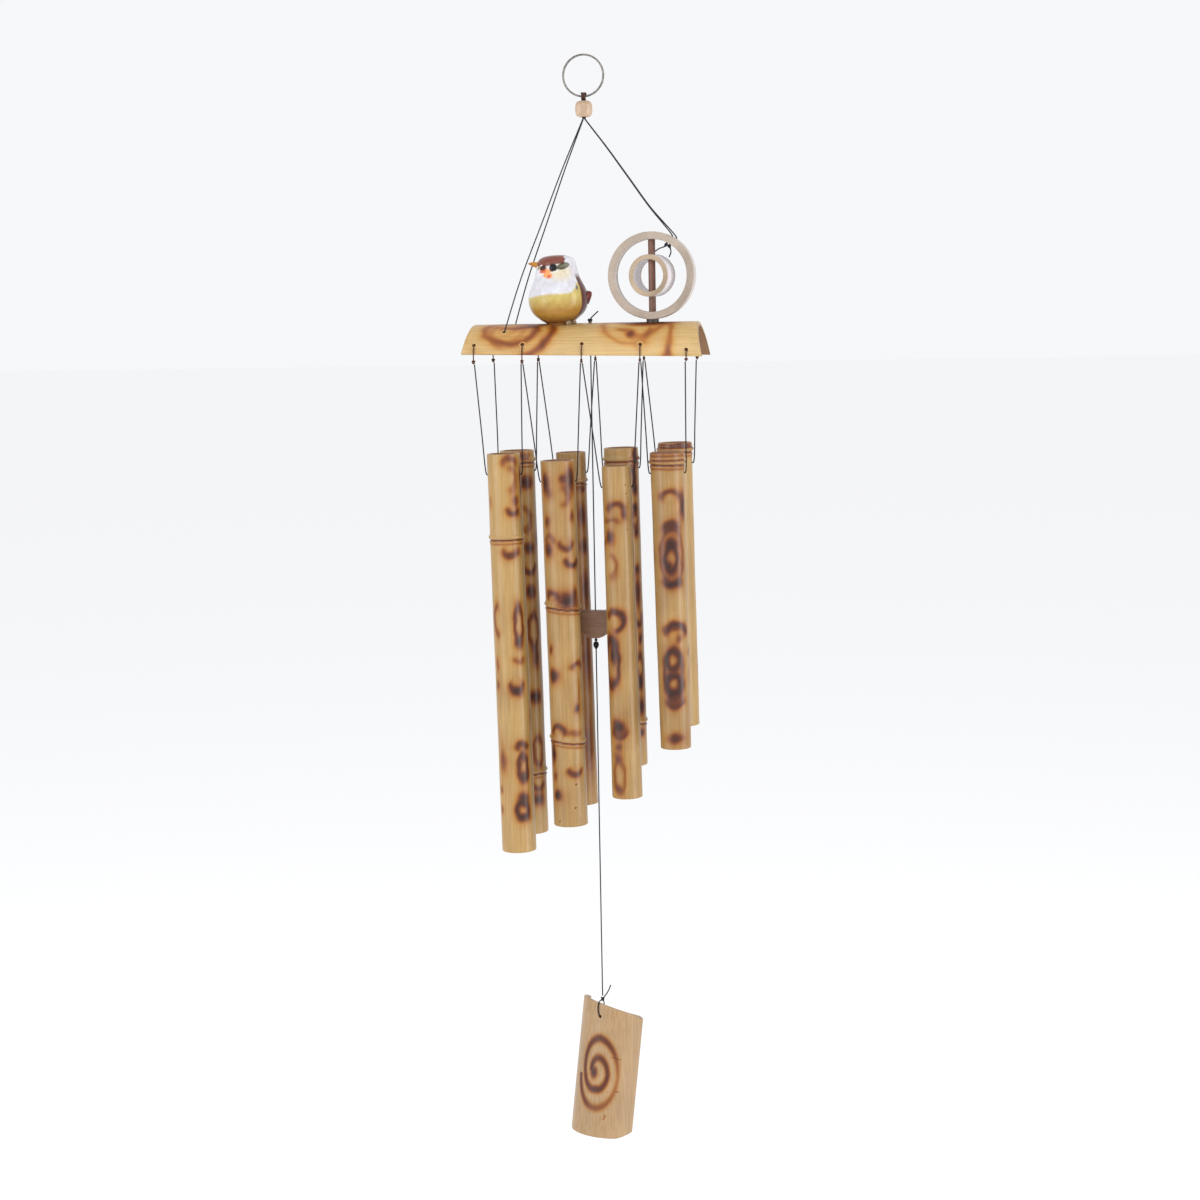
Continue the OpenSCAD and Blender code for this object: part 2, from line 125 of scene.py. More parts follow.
def mesh_piece(name, points, faces, uv=None, marks=None, caps=()):
    """A mesh from points in millimetres, square faces, their corners' UVs, named numbers or colours
    for each point, and flat caps over open ends."""
    if signed_volume(points, faces) < 0:
        faces = faces[:, ::-1]
        uv = None if uv is None else uv[:, ::-1]
        caps = [cap[::-1] for cap in caps]
    mesh = bpy.data.meshes.new(name)
    sizes = np.concatenate([np.full(len(faces), 4), [len(c) for c in caps]]).astype(int)
    corners = np.concatenate([faces.ravel()] + [np.asarray(c) for c in caps]).astype(int)
    mesh.vertices.add(len(points))
    mesh.vertices.foreach_set("co", (points * MM).astype(np.float32).ravel())
    mesh.loops.add(len(corners))
    mesh.loops.foreach_set("vertex_index", corners)
    mesh.polygons.add(len(sizes))
    mesh.polygons.foreach_set("loop_start", np.concatenate([[0], np.cumsum(sizes)[:-1]]))
    mesh.polygons.foreach_set("loop_total", sizes)
    mesh.polygons.foreach_set("use_smooth", np.ones(len(sizes), bool))
    if uv is not None:
        layer = mesh.uv_layers.new(name="surface")
        flat = np.zeros((len(corners), 2))
        flat[:faces.size] = uv.reshape(-1, 2)
        layer.data.foreach_set("uv", flat.ravel())
    for key, values in (marks or {}).items():
        values = np.asarray(values, float)
        if values.ndim == 2:
            colour = mesh.attributes.new(key, "FLOAT_COLOR", "POINT")
            colour.data.foreach_set("color", np.c_[values, np.ones(len(values))].ravel())
        else:
            mesh.attributes.new(key, "FLOAT", "POINT").data.foreach_set("value", values)
    mesh.update()
    mesh.validate()
    piece = bpy.data.objects.new(name, mesh)
    bpy.context.collection.objects.link(piece)
    return piece


def finish_piece(piece, material, body, *nodes):
    """Gives a piece its finish, the body that it rides on and the solids that it stands for."""
    piece.data.materials.append(material)
    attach(piece, body)
    if nodes:
        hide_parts(*nodes)
    return piece


# %% The floor
FLOOR_REACH, FLOOR_Z, FLOOR_LINES = 40000, -1250, 13
floor_line = np.linspace(-FLOOR_REACH, FLOOR_REACH, FLOOR_LINES)
floor_u, floor_v = np.meshgrid(floor_line, floor_line)
floor_points = np.stack([floor_u, floor_v, np.full_like(floor_u, FLOOR_Z)], axis=-1).reshape(-1, 3)
floor = mesh_piece("floor", floor_points,
                   grid_faces(FLOOR_LINES, FLOOR_LINES, closed_cols=False)[0][:, ::-1])
pale = bpy.data.materials.new("pale floor")
pale.use_nodes = True
for key, value in (("Base Color", (0.975, 0.975, 0.975, 1)), ("Roughness", 1), ("Specular IOR Level", 0)):
    pale.node_tree.nodes["Principled BSDF"].inputs[key].default_value = value
floor.data.materials.append(pale)
print("floor faces:", len(floor.data.polygons))

# %% [markdown]
# ## Twisted cord
#
# The cord is thin waxed twine of three yarns. It is a circle carried along a route,
# with a twist drawn by the material: stripes that run round and along at once, from
# the UV map, whose first number counts turns round and whose second is the distance
# along in millimetres. The routes are the ones the solid model uses.


# %% A circle carried along a route
def bell(distance, width):
    """exp(-(distance / width)^2): 1 in the middle, a third at the width, nothing far away."""
    return np.exp(-(distance / width)**2)


def smooth_route(points, per_span=8):
    """Catmull-Rom curve through the points: each stretch is a cubic, and leaves a point along the
    line between its neighbours."""
    p = np.asarray(points, float)
    q = np.vstack([2 * p[0] - p[1], p, 2 * p[-1] - p[-2]])
    t = np.linspace(0, 1, per_span, endpoint=False)[:, None]
    a, b, c, d = (q[k:len(q) - 3 + k, None] for k in range(4))
    curve = 0.5 * (2 * b + (c - a) * t + (2 * a - 5 * b + 4 * c - d) * t**2
                   + (3 * b - a - 3 * c + d) * t**3)
    return np.vstack([curve.reshape(-1, p.shape[1]), p[-1:]])


def tube_along(name, route, radius, sides=10, closed=False):
    """Each ring is the route's point plus radius (cos a . u + sin a . v), where u and v are
    turned as little as possible from ring to ring and stay square to the route."""
    route = np.asarray(route, float)
    radius = np.broadcast_to(radius, len(route)).astype(float)
    along = np.roll(route, -1, 0) - np.roll(route, 1, 0) if closed else np.gradient(route, axis=0)
    along /= np.linalg.norm(along, axis=1, keepdims=True)
    aside = np.zeros_like(along)
    aside[0] = np.cross(along[0], np.eye(3)[np.argmin(abs(along[0]))])
    for k in range(1, len(route)):
        aside[k] = aside[k - 1] - along[k] * (aside[k - 1] @ along[k])
        aside[k] /= np.linalg.norm(aside[k])
    aside[0] /= np.linalg.norm(aside[0])
    across = np.cross(along, aside)
    turn = np.linspace(0, 2 * np.pi, sides, endpoint=False)
    spokes = (np.cos(turn)[None, :, None] * aside[:, None]
              + np.sin(turn)[None, :, None] * across[:, None])
    rings = route[:, None] + radius[:, None, None] * spokes
    faces, ci, cj = grid_faces(len(route), sides, closed_rows=closed)
    run = np.concatenate([[0], np.cumsum(np.linalg.norm(np.diff(route, axis=0), axis=1))])
    run = np.append(run, run[-1] + np.linalg.norm(route[0] - route[-1]))
    uv = np.stack([cj / sides, run[ci]], axis=-1)
    last = (len(route) - 1) * sides
    caps = [] if closed else [np.arange(sides)[::-1], last + np.arange(sides)]
    return mesh_piece(name, rings.reshape(-1, 3), faces, uv, caps=caps)


def joined(name, pieces):
    """Several meshes made one piece."""
    with bpy.context.temp_override(active_object=pieces[0], selected_editable_objects=pieces,
                                   selected_objects=pieces, object=pieces[0]):
        bpy.ops.object.join()
    pieces[0].name = pieces[0].data.name = name
    return pieces[0]


# %% The cord's material
def new_material(name):
    """An empty material with its Principled BSDF."""
    material = bpy.data.materials.new(name)
    material.use_nodes = True
    return material, material.node_tree, material.node_tree.nodes["Principled BSDF"]


def give(tree, node, values):
    """Gives each input, by name or number, its value, or links it to another node's output."""
    for key, value in values.items():
        if isinstance(value, bpy.types.NodeSocket):
            tree.links.new(value, node.inputs[key])
        else:
            node.inputs[key].default_value = value
    return node


def add(tree, kind, values=(), **settings):
    """A node with its settings and inputs."""
    node = tree.nodes.new(kind)
    for key, value in settings.items():
        setattr(node, key, value)
    return give(tree, node, dict(values))


def maths(tree, operation, a, b=0.0, c=0.0):
    """One Math node; returns its output."""
    return add(tree, "ShaderNodeMath", {0: a, 1: b, 2: c}, operation=operation).outputs[0]


def scaled(tree, value, by, plus):
    """value . by + plus."""
    return maths(tree, "MULTIPLY_ADD", value, by, plus)


def swung(tree, value, by, around):
    """(value - 0.5) . by + around: noise that moves a number up and down."""
    return scaled(tree, maths(tree, "SUBTRACT", value, 0.5), by, around)


def noise(tree, scale, detail, place=None, **inputs):
    """A noise texture's factor, in object space unless another place is given."""
    if place is None:
        place = add(tree, "ShaderNodeTexCoord").outputs["Object"]
    values = {"Vector": place, "Scale": scale, "Detail": detail, **inputs}
    return add(tree, "ShaderNodeTexNoise", values).outputs["Fac"]


def carried(tree, name, output="Fac"):
    """A number or a colour that the mesh carries at each point."""
    return add(tree, "ShaderNodeAttribute", attribute_name=name).outputs[output]


def ramp(tree, factor, stops):
    """A colour ramp with stops of (position, colour)."""
    node = add(tree, "ShaderNodeValToRGB", {"Fac": factor})
    elements = node.color_ramp.elements
    while len(elements) < len(stops):
        elements.new(0.5)
    for element, (position, colour) in zip(elements, stops):
        element.position, element.color = position, (*colour, 1)
    return node.outputs["Color"]


def mixed(tree, factor, a, b, kind="MIX"):
    """Two colours mixed by a factor."""
    a, b = (c if isinstance(c, bpy.types.NodeSocket) else (*c, 1) for c in (a, b))
    values = {"Factor": factor, 6: a, 7: b}
    return add(tree, "ShaderNodeMix", values, data_type="RGBA", blend_type=kind).outputs[2]


def bumped(tree, height, strength, distance):
    """A Bump node's normal from a height in 0 to 1; the distance is in metres."""
    values = {"Height": height, "Strength": strength, "Distance": distance}
    return add(tree, "ShaderNodeBump", values).outputs["Normal"]


def node_group(name, inputs, outputs):
    """An empty group with (name, kind, value) inputs and number outputs; also its start and end."""
    group = bpy.data.node_groups.new(name, "ShaderNodeTree")
    for key, kind, value in inputs:
        socket = group.interface.new_socket(key, in_out="INPUT", socket_type="NodeSocket" + kind)
        socket.default_value = value
    for key in outputs:
        group.interface.new_socket(key, in_out="OUTPUT", socket_type="NodeSocketFloat")
    return group, group.nodes.new("NodeGroupInput"), group.nodes.new("NodeGroupOutput")


def twist_group():
    """Twine's stripes: |sin(pi . yarns . (turns round + distance along / pitch))| is a height; noise
    is the fuzz."""
    group, start, end = node_group("twine twist", [("Pitch", "Float", 2.2), ("Yarns", "Float", 3)],
                                   ("Height", "Fuzz"))
    uv = add(group, "ShaderNodeUVMap", uv_map="surface").outputs[0]
    split = add(group, "ShaderNodeSeparateXYZ", {0: uv}).outputs
    turns = maths(group, "ADD", split["X"], maths(group, "DIVIDE", split["Y"], start.outputs["Pitch"]))
    phase = maths(group, "MULTIPLY", turns, start.outputs["Yarns"])
    wave = maths(group, "ABSOLUTE", maths(group, "SINE", maths(group, "MULTIPLY", phase, math.pi)))
    give(group, end, {"Height": wave, "Fuzz": noise(group, 2600.0, 3.0)})
    return group


twist = twist_group()


def cord_material(name, dark, light, pitch=2.2):
    """Waxed twine: darker in the grooves between the yarns as painted shade, lighter on the yarns, half
    dull.
    """
    material, tree, shader = new_material(name)
    lay = add(tree, "ShaderNodeGroup", node_tree=twist)
    give(tree, lay, {"Pitch": pitch})
    yarn, fuzz = lay.outputs["Height"], lay.outputs["Fuzz"]
    # Painted shade: the colour darkens where the yarns' height is low, in the grooves.
    shade = maths(tree, "MULTIPLY", yarn, maths(tree, "ADD", fuzz, 0.35))
    give(tree, shader, {"Base Color": ramp(tree, shade, [(0.1, dark), (0.9, light)]),
                        "Roughness": scaled(tree, fuzz, 0.3, 0.6),
                        "Normal": bumped(tree, yarn, 0.6, 0.00015),
                        "Specular IOR Level": 0.2})
    return material


charcoal = cord_material("charcoal cord", (0.004, 0.004, 0.006), (0.028, 0.028, 0.034))
black_cord = cord_material("black cord", (0.004, 0.004, 0.004), (0.03, 0.026, 0.024))
brown_cord = cord_material("brown cord", (0.012, 0.006, 0.004), (0.09, 0.045, 0.03), 1.6)
tie_cord = cord_material("rusty cord", (0.016, 0.007, 0.004), (0.13, 0.055, 0.03), 1.8)
print("cord materials:", charcoal.name, black_cord.name, brown_cord.name, tie_cord.name)

# %% [markdown]
# ## The cords
#
# Four cords carry the bar, two strands carry each tube, and one long cord carries the
# striker and the wind catcher. They are pulled straight by what hangs on them, so
# their routes are straight between a knot and the next hole.

# %% Numbers of the solid model that the cords share
CORD_R, STOP_R, STOP_LENGTH = 0.45, 1.25, 2.6
BEAD_LOW = -42.1
BAR_AXIS_Z, BAR_R, BAR_WALL = -208.8, 23.8, 3.2
ROW_Y = 24.3
KNOT_Z = -211
RING_X, RING_Z, RING_R = 46.6, -152.7, 30.5
STRING_X = 1.7
SIDE = {"front": -1, "back": 1}
HOLE_X = {"front": [-78, -43, -0.5, 41, 73.5], "back": [-75, -41.5, 0.5, 36, 74.5]}
HOLE_TURN = {"front": [66, 66, 66, 69, 79], "back": [66, 66, 66, 66, 66]}
TUBE_X = {"front": [-58, -19, 23, 59], "back": [-59, -19, 18, 57.5]}
TUBE_TOP = {"front": [-275.5, -280.5, -284.5, -275], "back": [-276.5, -278, -275, -271.5]}
TUBE_LENGTH = {"front": [287, 262, 237, 210], "back": [284, 260, 233, 206]}
TUBE_R = {"front": [(11.7, 12.3), (12.1, 12.2), (10.2, 10.8), (11.8, 10.8)],
          "back": [(12.4, 12.2), (10.8, 10.9), (12.3, 11.9), (12.2, 11.8)]}
TUBE_NODES = {"front": [[59], [103, 199], [], [7]], "back": [[7, 237], [20.5], [8, 200], [5]]}
LEAN = math.radians(1)
HOLE_DROP = 14


def on_bar(x, turn, r):
    """Point at a distance from the bar's axis, at an angle from its ridge in degrees."""
    turn = math.radians(turn)
    return np.array([x, r * math.sin(turn), BAR_AXIS_Z + r * math.cos(turn)])


def on_ring(turn, y, r):
    """Point at a distance from the big ring's axis, at an angle from its top in degrees."""
    turn = math.radians(turn)
    return np.array([RING_X + r * math.sin(turn), y, RING_Z + r * math.cos(turn)])


def hung(row, i, p):
    """Points given from a tube's own top, carried to where it hangs: turned by its lean, then moved."""
    p = np.atleast_2d(p)
    return np.stack([TUBE_X[row][i] + p[:, 0] * math.cos(LEAN) - p[:, 2] * math.sin(LEAN),
                     SIDE[row] * ROW_Y + p[:, 1],
                     TUBE_TOP[row][i] + p[:, 0] * math.sin(LEAN) + p[:, 2] * math.cos(LEAN)], axis=-1)


def end_swelling(route):
    """Radii along a route that ends in a stop knot: a half sine bulge over its last stretch."""
    left = np.cumsum(np.linalg.norm(np.diff(route[::-1], axis=0), axis=1))[::-1]
    left = np.append(left, 0)
    bulge = np.sin(np.clip(left / STOP_LENGTH, 0, 1) * np.pi)
    return CORD_R + (STOP_R - CORD_R) * bulge * (left < STOP_LENGTH)


def free_cord(name, points, body, stop_knot=True, knot=None):
    """A cord along a smooth route; returns its real length in metres. A knot part of the way along is
    a bulge 0.85 exp(-(distance / 1.2)^2) of its radius."""
    route = smooth_route(points, 6)
    radii = end_swelling(route) if stop_knot else np.full(len(route), CORD_R)
    if knot is not None:
        radii = radii + 0.85 * bell(np.linalg.norm(route - knot, axis=1), 1.2)
    piece = tube_along(name + "_skin", route, radii)
    length = np.linalg.norm(np.diff(route, axis=0), axis=1).sum() * MM
    finish_piece(piece, charcoal, body, name)
    return length


# %% Hanger cords
lengths = {}
for row, y in SIDE.items():
    turn = y * 39
    lengths["left " + row] = free_cord(f"hanger_cord_left_{row}", [
        (-0.9, 0.7 * y, BEAD_LOW - 0.4), (-1.1, 0.8 * y, BEAD_LOW - 2.4), (-15, 4.4 * y, -77),
        (-30, 8.1 * y, -115), (-45, 11.9 * y, -153), (-56.5, 14.8 * y, -188),
        on_bar(-57.5, turn, 23.2), on_bar(-57.5, turn, 20.6), on_bar(-57.5, turn, 18)], "frame")
for row, turn, y in (("front", 27, -3), ("back", 31, 3)):
    s = SIDE[row]
    inner = on_ring(turn, y, RING_R - 6.9)
    tail = ([(-1.4, -0.8, -1.4), (-4.5, -2.4, -2.6), (-7.5, -3.2, -4.6)] if row == "front" else
            [(0.6, 0.6, -1.8), (0.9, 0.8, -4.6), (-0.4, 0.6, -7.6)])
    lengths["right " + row] = free_cord(f"hanger_cord_right_{row}", [
        (0.9, 0.7 * s, BEAD_LOW - 0.4), (1.4, 0.8 * s, BEAD_LOW - 2.2), (16, 1.4 * s, -63.5),
        (31, 2 * s, -84.5), (46, 2.6 * s, -105.5), on_ring(turn, y, RING_R + 1.5),
        on_ring(turn, y, RING_R - 1), on_ring(turn, y, RING_R - 5.2), inner]
        + [tuple(inner + t) for t in tail], "frame", stop_knot=False, knot=inner)
print("hanger cords in mm:", {k: round(v / MM) for k, v in lengths.items()})

# %% Two strands to each tube
for row, s in SIDE.items():
    for i in range(4):
        for side, word in ((-1, "left"), (1, "right")):
            r1, r2 = TUBE_R[row][i]
            r = r1 + (r2 - r1) * HOLE_DROP / TUBE_LENGTH[row][i]
            start = np.array([HOLE_X[row][i + (side + 1) // 2] - side * 0.65, s * ROW_Y, KNOT_Z - 1.6])
            out = hung(row, i, (side * (r + CORD_R + 1.05), 0, 1.2 - HOLE_DROP))[0]
            inside = [hung(row, i, (side * (r - depth), 0, -HOLE_DROP))[0] for depth in (0.9, 2.6, 5.2)]
            reach = out - start
            free_cord(f"cord_{row}_{i + 1}_{word}",
                      [start, start + reach / 3, start + reach * 2 / 3, out] + inside,
                      f"{row}_tube_{i + 1}")

# %% The striker's cord and the catcher's cord
free_cord("striker_cord", [(STRING_X, 0, z) for z in (-185.4, -250, -320, -390.6, -410.8, -413)],
          "striker")
free_cord("catcher_cord", [(STRING_X, 0, z) for z in (-418.45, -480, -540, -600, -640, -677.7)],
          "catcher_cord", stop_knot=False)

# %% [markdown]
# ## Ties and knots
#
# Five ties leave each side of the bar through a hole, pass over the lower edge and end
# in the knot that two strands hang from. A knot is drawn as the simplest one there is,
# the trefoil: a line that winds twice round a ring while it weaves in and out three
# times.


# %% Knots and ties
def trefoil(name, centre, size, tilt=0.0, thick=CORD_R):
    """x = sin t + 2 sin 2t, z = cos t - 2 cos 2t, y = -1.2 sin 3t, drawn to the given half size and
    turned about the upright by tilt."""
    t = np.linspace(0, 2 * np.pi, 60, endpoint=False)
    line = np.stack([np.sin(t) + 2 * np.sin(2 * t), -1.2 * np.sin(3 * t),
                     np.cos(t) - 2 * np.cos(2 * t)], axis=-1)
    line *= (size - thick) / 3
    c, s = math.cos(tilt), math.sin(tilt)
    line = line @ np.array([[c, -s, 0], [s, c, 0], [0, 0, 1]])
    return tube_along(name, line + np.asarray(centre, float), thick, 8, closed=True)


for row, s in SIDE.items():
    parts = []
    for i, (x, turn) in enumerate(zip(HOLE_X[row], HOLE_TURN[row])):
        route = [on_bar(x, s * turn, 18), on_bar(x, s * turn, 20.6), on_bar(x, s * turn, 24),
                 on_bar(x, s * (turn + 3), ROW_Y + 0.3), on_bar(x, s * (turn + 90) / 2, ROW_Y + 0.3),
                 (x, s * ROW_Y, BAR_AXIS_Z - 0.4), (x, s * ROW_Y, KNOT_Z)]
        parts.append(tube_along(f"tie_{i}", smooth_route(route, 5), CORD_R))
        parts.append(trefoil(f"knot_{i}", (x, s * ROW_Y, KNOT_Z), 1.55, 0.5 * i))
        parts.append(trefoil(f"stop_{i}", on_bar(x, s * turn, 18.6), 1.4, 0.3 * i))
    finish_piece(joined(f"{row}_ties_skin", parts), tie_cord, "frame", f"{row}_ties")

tail = smooth_route([(STRING_X + x, y, z) for x, y, z in (
    (0, 0, -183.2), (0.8, 0, -181.5), (2.6, -0.4, -179.9), (6, -0.8, -176.9))], 5)
finish_piece(joined("ridge_knot_skin", [trefoil("k", (STRING_X, 0, -183.5), 2.0),
                                        tube_along("t", tail, CORD_R)]),
             black_cord, "ridge_knot", "ridge_knot")
print("ties and knots made")


# %% The loop below the striker and the tie of the wind catcher
LINK_Z = -415.8
t = np.linspace(0, 2 * np.pi, 40, endpoint=False)
loop = np.stack([STRING_X + 1.5 * np.cos(t), 0.35 * np.sin(2 * t), LINK_Z + 2.1 * np.sin(t)], axis=-1)
finish_piece(joined("striker_link_skin", [tube_along("loop", loop, 0.55, closed=True),
                                          trefoil("k", (STRING_X, 0, LINK_Z + 0.9), 1.9),
                                          trefoil("l", (STRING_X, 0, LINK_Z - 1.7), 1.5)]),
             black_cord, "striker_link", "striker_link")

CATCHER_Z, CATCHER_R, CATCHER_WALL, CATCHER_LENGTH, RIM_Z = -680, 24, 3.2, 99, -3.4
TILT, CATCHER_LEAN, YAW = map(math.radians, (-7, 5.4, -18))


def turned_catcher(p):
    """Points round the catcher's knot, turned about Z, then X, then Y, and carried to the knot."""
    p = np.atleast_2d(np.asarray(p, float))
    x = p[:, 0] * math.cos(YAW) - p[:, 1] * math.sin(YAW)
    y = p[:, 0] * math.sin(YAW) + p[:, 1] * math.cos(YAW)
    y, z = (y * math.cos(TILT) - p[:, 2] * math.sin(TILT),
            y * math.sin(TILT) + p[:, 2] * math.cos(TILT))
    x, z = (x * math.cos(CATCHER_LEAN) + z * math.sin(CATCHER_LEAN),
            -x * math.sin(CATCHER_LEAN) + z * math.cos(CATCHER_LEAN))
    return np.stack([x + STRING_X, y, z + CATCHER_Z], axis=-1)


half = CATCHER_WALL / 2
front_loop = [(0, 0, 0), (-1.6, -half - 0.2, -2.4), (-2.0, -half - 0.75, -4.6), (-1.7, -half - 0.7, -9),
              (-0.5, -half - 0.6, -12.3), (0, -0.9, -13), (0, 0.9, -13), (0, half + 0.75, -12.3),
              (0.3, half + 0.9, -9), (0.4, half + 0.8, -4.6), (0.4, half + 0.1, -2.4), (0.2, 0.3, -0.4)]
free_end = [(0, 0, 0), (2, 0.2, 3), (4, 0.5, 7), (5.2, 0.6, 11)]
knot_at = turned_catcher([(0, 0, 0)])[0]
finish_piece(joined("catcher_tie_skin", [
    tube_along("a", turned_catcher(smooth_route(front_loop, 5)), CORD_R),
    tube_along("b", turned_catcher(smooth_route(free_end, 6)), CORD_R),
    trefoil("k", knot_at, 1.8, 0.4)]), black_cord, "wind_catcher", "catcher_tie")
print("catcher's knot at", knot_at.round(1))

# %% [markdown]
# ## Scorched bamboo
#
# Each tube is a stalk of bamboo cut to length. Its wall swells at the joints, and a
# maker has drawn rings, hooks and spots on it with a flame: dark brown where the flame
# stayed and orange where it only passed. The burn marks could be drawn in the
# material, but there are some twenty to a tube, each in its own place, so they are
# worked out with the surface instead and kept as a number at each point. The same
# number also holds painted shade in the joints' grooves and in the holes. The material
# only turns that number into colour, and adds the grain.


# %% Burn marks
def burnt(across, down, marks, stroke=2.7):
    """How burnt each point is, 0 to about 1. A mark at (a, d) with half sizes (w, h) puts every
    point at s = hypot((across - a) / w, (down - d) / h) of its centre. A spot is 0.85 exp(-1.2 s^2)
    + 0.25 exp(-0.35 s^2). A ring is 0.72 exp(-(q / 0.75)^2) + 0.3 exp(-(q / 1.6)^2) with
    q = (s - 1) sqrt(w h) / stroke: a dark line in a singed margin. Arch, cup, left and right keep
    one side of the ring. Marks darken what is left pale: 1 - product of (1 - mark)."""
    wobble = (0.4 * np.sin(across * 0.5 + 1.3 * np.sin(down * 0.23))
              + 0.25 * np.sin(down * 0.55 + across * 0.4))
    pale_left = np.ones_like(across)
    for kind, a, d, w, h, strength in marks:
        u, v = (across + wobble - a) / w, (down + wobble - d) / h
        s = np.hypot(u, v)
        if kind == "spot":
            mark = 0.85 * np.exp(-1.2 * s**2) + 0.25 * np.exp(-0.35 * s**2)
        else:
            off = (s - 1) * math.sqrt(w * h) / stroke
            mark = 0.72 * bell(off, 0.75) + 0.3 * bell(off, 1.6)
            keep = {"arch": -v, "cup": v, "left": -u, "right": u}.get(kind)
            if keep is not None:
                mark = mark / (1 + np.exp(-4 * (keep + 0.1)))
        pale_left = pale_left * (1 - np.clip(strength * mark, 0, 1))
    return 1 - pale_left


def stray_marks(seed, length, first, last, count):
    """Marks for the sides out of sight: a fixed seed strews rings, hooks and spots at random."""
    rng = np.random.default_rng(seed)
    kinds = np.array(["ring", "spot", "arch", "cup", "spot", "left", "right"])
    return list(zip(kinds[rng.integers(0, 7, count)], rng.uniform(first, last, count),
                    rng.uniform(12, length - 12, count), rng.uniform(3, 6, count),
                    rng.uniform(4, 10, count), rng.uniform(0.35, 0.9, count)))


# %% A stalk of bamboo
FACING = math.radians(-79.5)     # the side of a tube that looks at the camera
TUBE_WALL, LINE_STEP, STALK_SIDES, STRAY_COUNT = 2.6, 0.85, 96, 9


def stalk_profile(length, outside_r, joints):
    """The line that is carried round, as depth below the top, inset, and 1 outside or 0 inside. It
    runs down the outside and up the inside, with a pierced wall at each joint and rounded rims."""
    outer = np.concatenate([[0.0, 0.12], np.linspace(0.45, length - 0.45, int(length / LINE_STEP)),
                            [length - 0.12, length]])
    outer_in = np.concatenate([[0.5, 0.12], np.zeros(len(outer) - 4), [0.12, 0.5]])
    inner, inner_in = [length, length - 0.4], [TUBE_WALL - 0.3, TUBE_WALL]
    for joint in sorted(joints, reverse=True):
        inner += [joint + gap for gap in (2.2, 1.3, 1.2, -1.2, -1.3, -2.2)]
        inner_in += [TUBE_WALL, TUBE_WALL + 0.6, outside_r - 4, outside_r - 4, TUBE_WALL + 0.6, TUBE_WALL]
    down = np.concatenate([outer, inner, [0.4, 0.0]])
    inset = np.concatenate([outer_in, inner_in, [TUBE_WALL, TUBE_WALL - 0.3]])
    is_out = (np.arange(len(down)) < len(outer)).astype(float)
    return down[:, None], inset[:, None], is_out[:, None]


def stalk(row, i, marks, tone, slope=0.0, worm_holes=(), bands=()):
    """Radius = taper + joints + a slow wobble round and along. A joint at depth d, sloping round by
    slope, adds bells at s = 0 and 3.3 below it and cuts a groove at s = 2, with s = depth - d;
    painted shade darkens that groove. Bands are (depth, darkness) of small ridges close to the top,
    with painted shade darkening the groove at each depth."""
    length, (r1, r2), joints = TUBE_LENGTH[row][i], TUBE_R[row][i], TUBE_NODES[row][i]
    down, inset, is_out = stalk_profile(length, r1, joints)
    turn = np.linspace(0, 2 * np.pi, STALK_SIDES, endpoint=False)[None, :]
    seed = 3 * i + (row == "back")
    base = r1 + (r2 - r1) * down / length
    lumps = (0.12 * np.sin(2 * turn + seed) + 0.07 * np.sin(down / 23 + seed) * np.cos(turn - seed)
             + 0.05 * np.sin(down / 9 + 2 * turn))
    past = [down - joint - slope * np.cos(turn - FACING - 1.4) for joint in joints]
    swell = sum(1.1 * bell(s, 1.3) + 0.55 * bell(s - 3.3, 0.8) - 0.6 * bell(s - 2.0, 0.5) for s in past)
    for depth, _ in bands:
        swell = swell + 0.4 * bell(down - depth - 1.1, 0.8) - 0.3 * bell(down - depth, 0.5)
    near_end = np.clip(down / 6, 0, 1) * np.clip((length - down) / 6, 0, 1)
    radius = base - inset + is_out * (lumps * near_end + swell)
    local = np.stack([radius * np.cos(turn), radius * np.sin(turn), -down + 0 * turn], axis=-1)

    middle_r = base.mean()
    half_round = math.pi * middle_r
    across = ((turn - FACING + np.pi) % (2 * np.pi) - np.pi) * base
    seen = [(k, middle_r * math.asin(np.clip(a / (middle_r + 0.5), -0.97, 0.97)), d, w, h, q)
            for k, a, d, w, h, q in marks]
    hidden = [(k, a if a < half_round else a - 2 * half_round, d, w, h, q)
              for k, a, d, w, h, q in stray_marks(seed, length, 20, 50, STRAY_COUNT)]
    scorch_and_shade = burnt(across, down + 0 * turn, seen + hidden) * is_out
    # Painted shade: each joint's groove at s = 2 is darkened, and more faintly the band at s = 4.6 under
    # the joint.
    for s in past:
        scorch_and_shade = np.maximum(scorch_and_shade, is_out * 0.85 * bell(s - 2.0, 0.6))
        scorch_and_shade = np.maximum(scorch_and_shade, is_out * 0.3 * bell(s - 4.6, 1.0))
    # Painted shade in the grooves of the bands near the top.
    for depth, burn_and_shade in bands:
        scorch_and_shade = np.maximum(scorch_and_shade, is_out * burn_and_shade * bell(down - depth, 0.75))
    # Worm holes: dark discs painted as the shade inside holes that the mesh does not cut.
    for a, d, size in worm_holes:
        scorch_and_shade = np.maximum(scorch_and_shade, np.exp(-(np.hypot(across - a, down - d) / size)**4))

    faces, ci, cj = grid_faces(len(down), STALK_SIDES, closed_rows=True)
    run = np.append(down[:, 0], down[0, 0])
    inside = np.clip(inset / 1.2, 0, 1) + 0 * turn
    piece = mesh_piece(f"{row}_stalk_{i + 1}", hung(row, i, local.reshape(-1, 3)), faces,
                       np.stack([cj / STALK_SIDES, run[ci]], axis=-1),
                       {"scorch_and_shade": scorch_and_shade.ravel(), "inside": inside.ravel(),
                        "tone": np.full(scorch_and_shade.size, tone)})
    finish_piece(piece, bamboo, f"{row}_tube_{i + 1}", f"tube_{row}_{i + 1}")


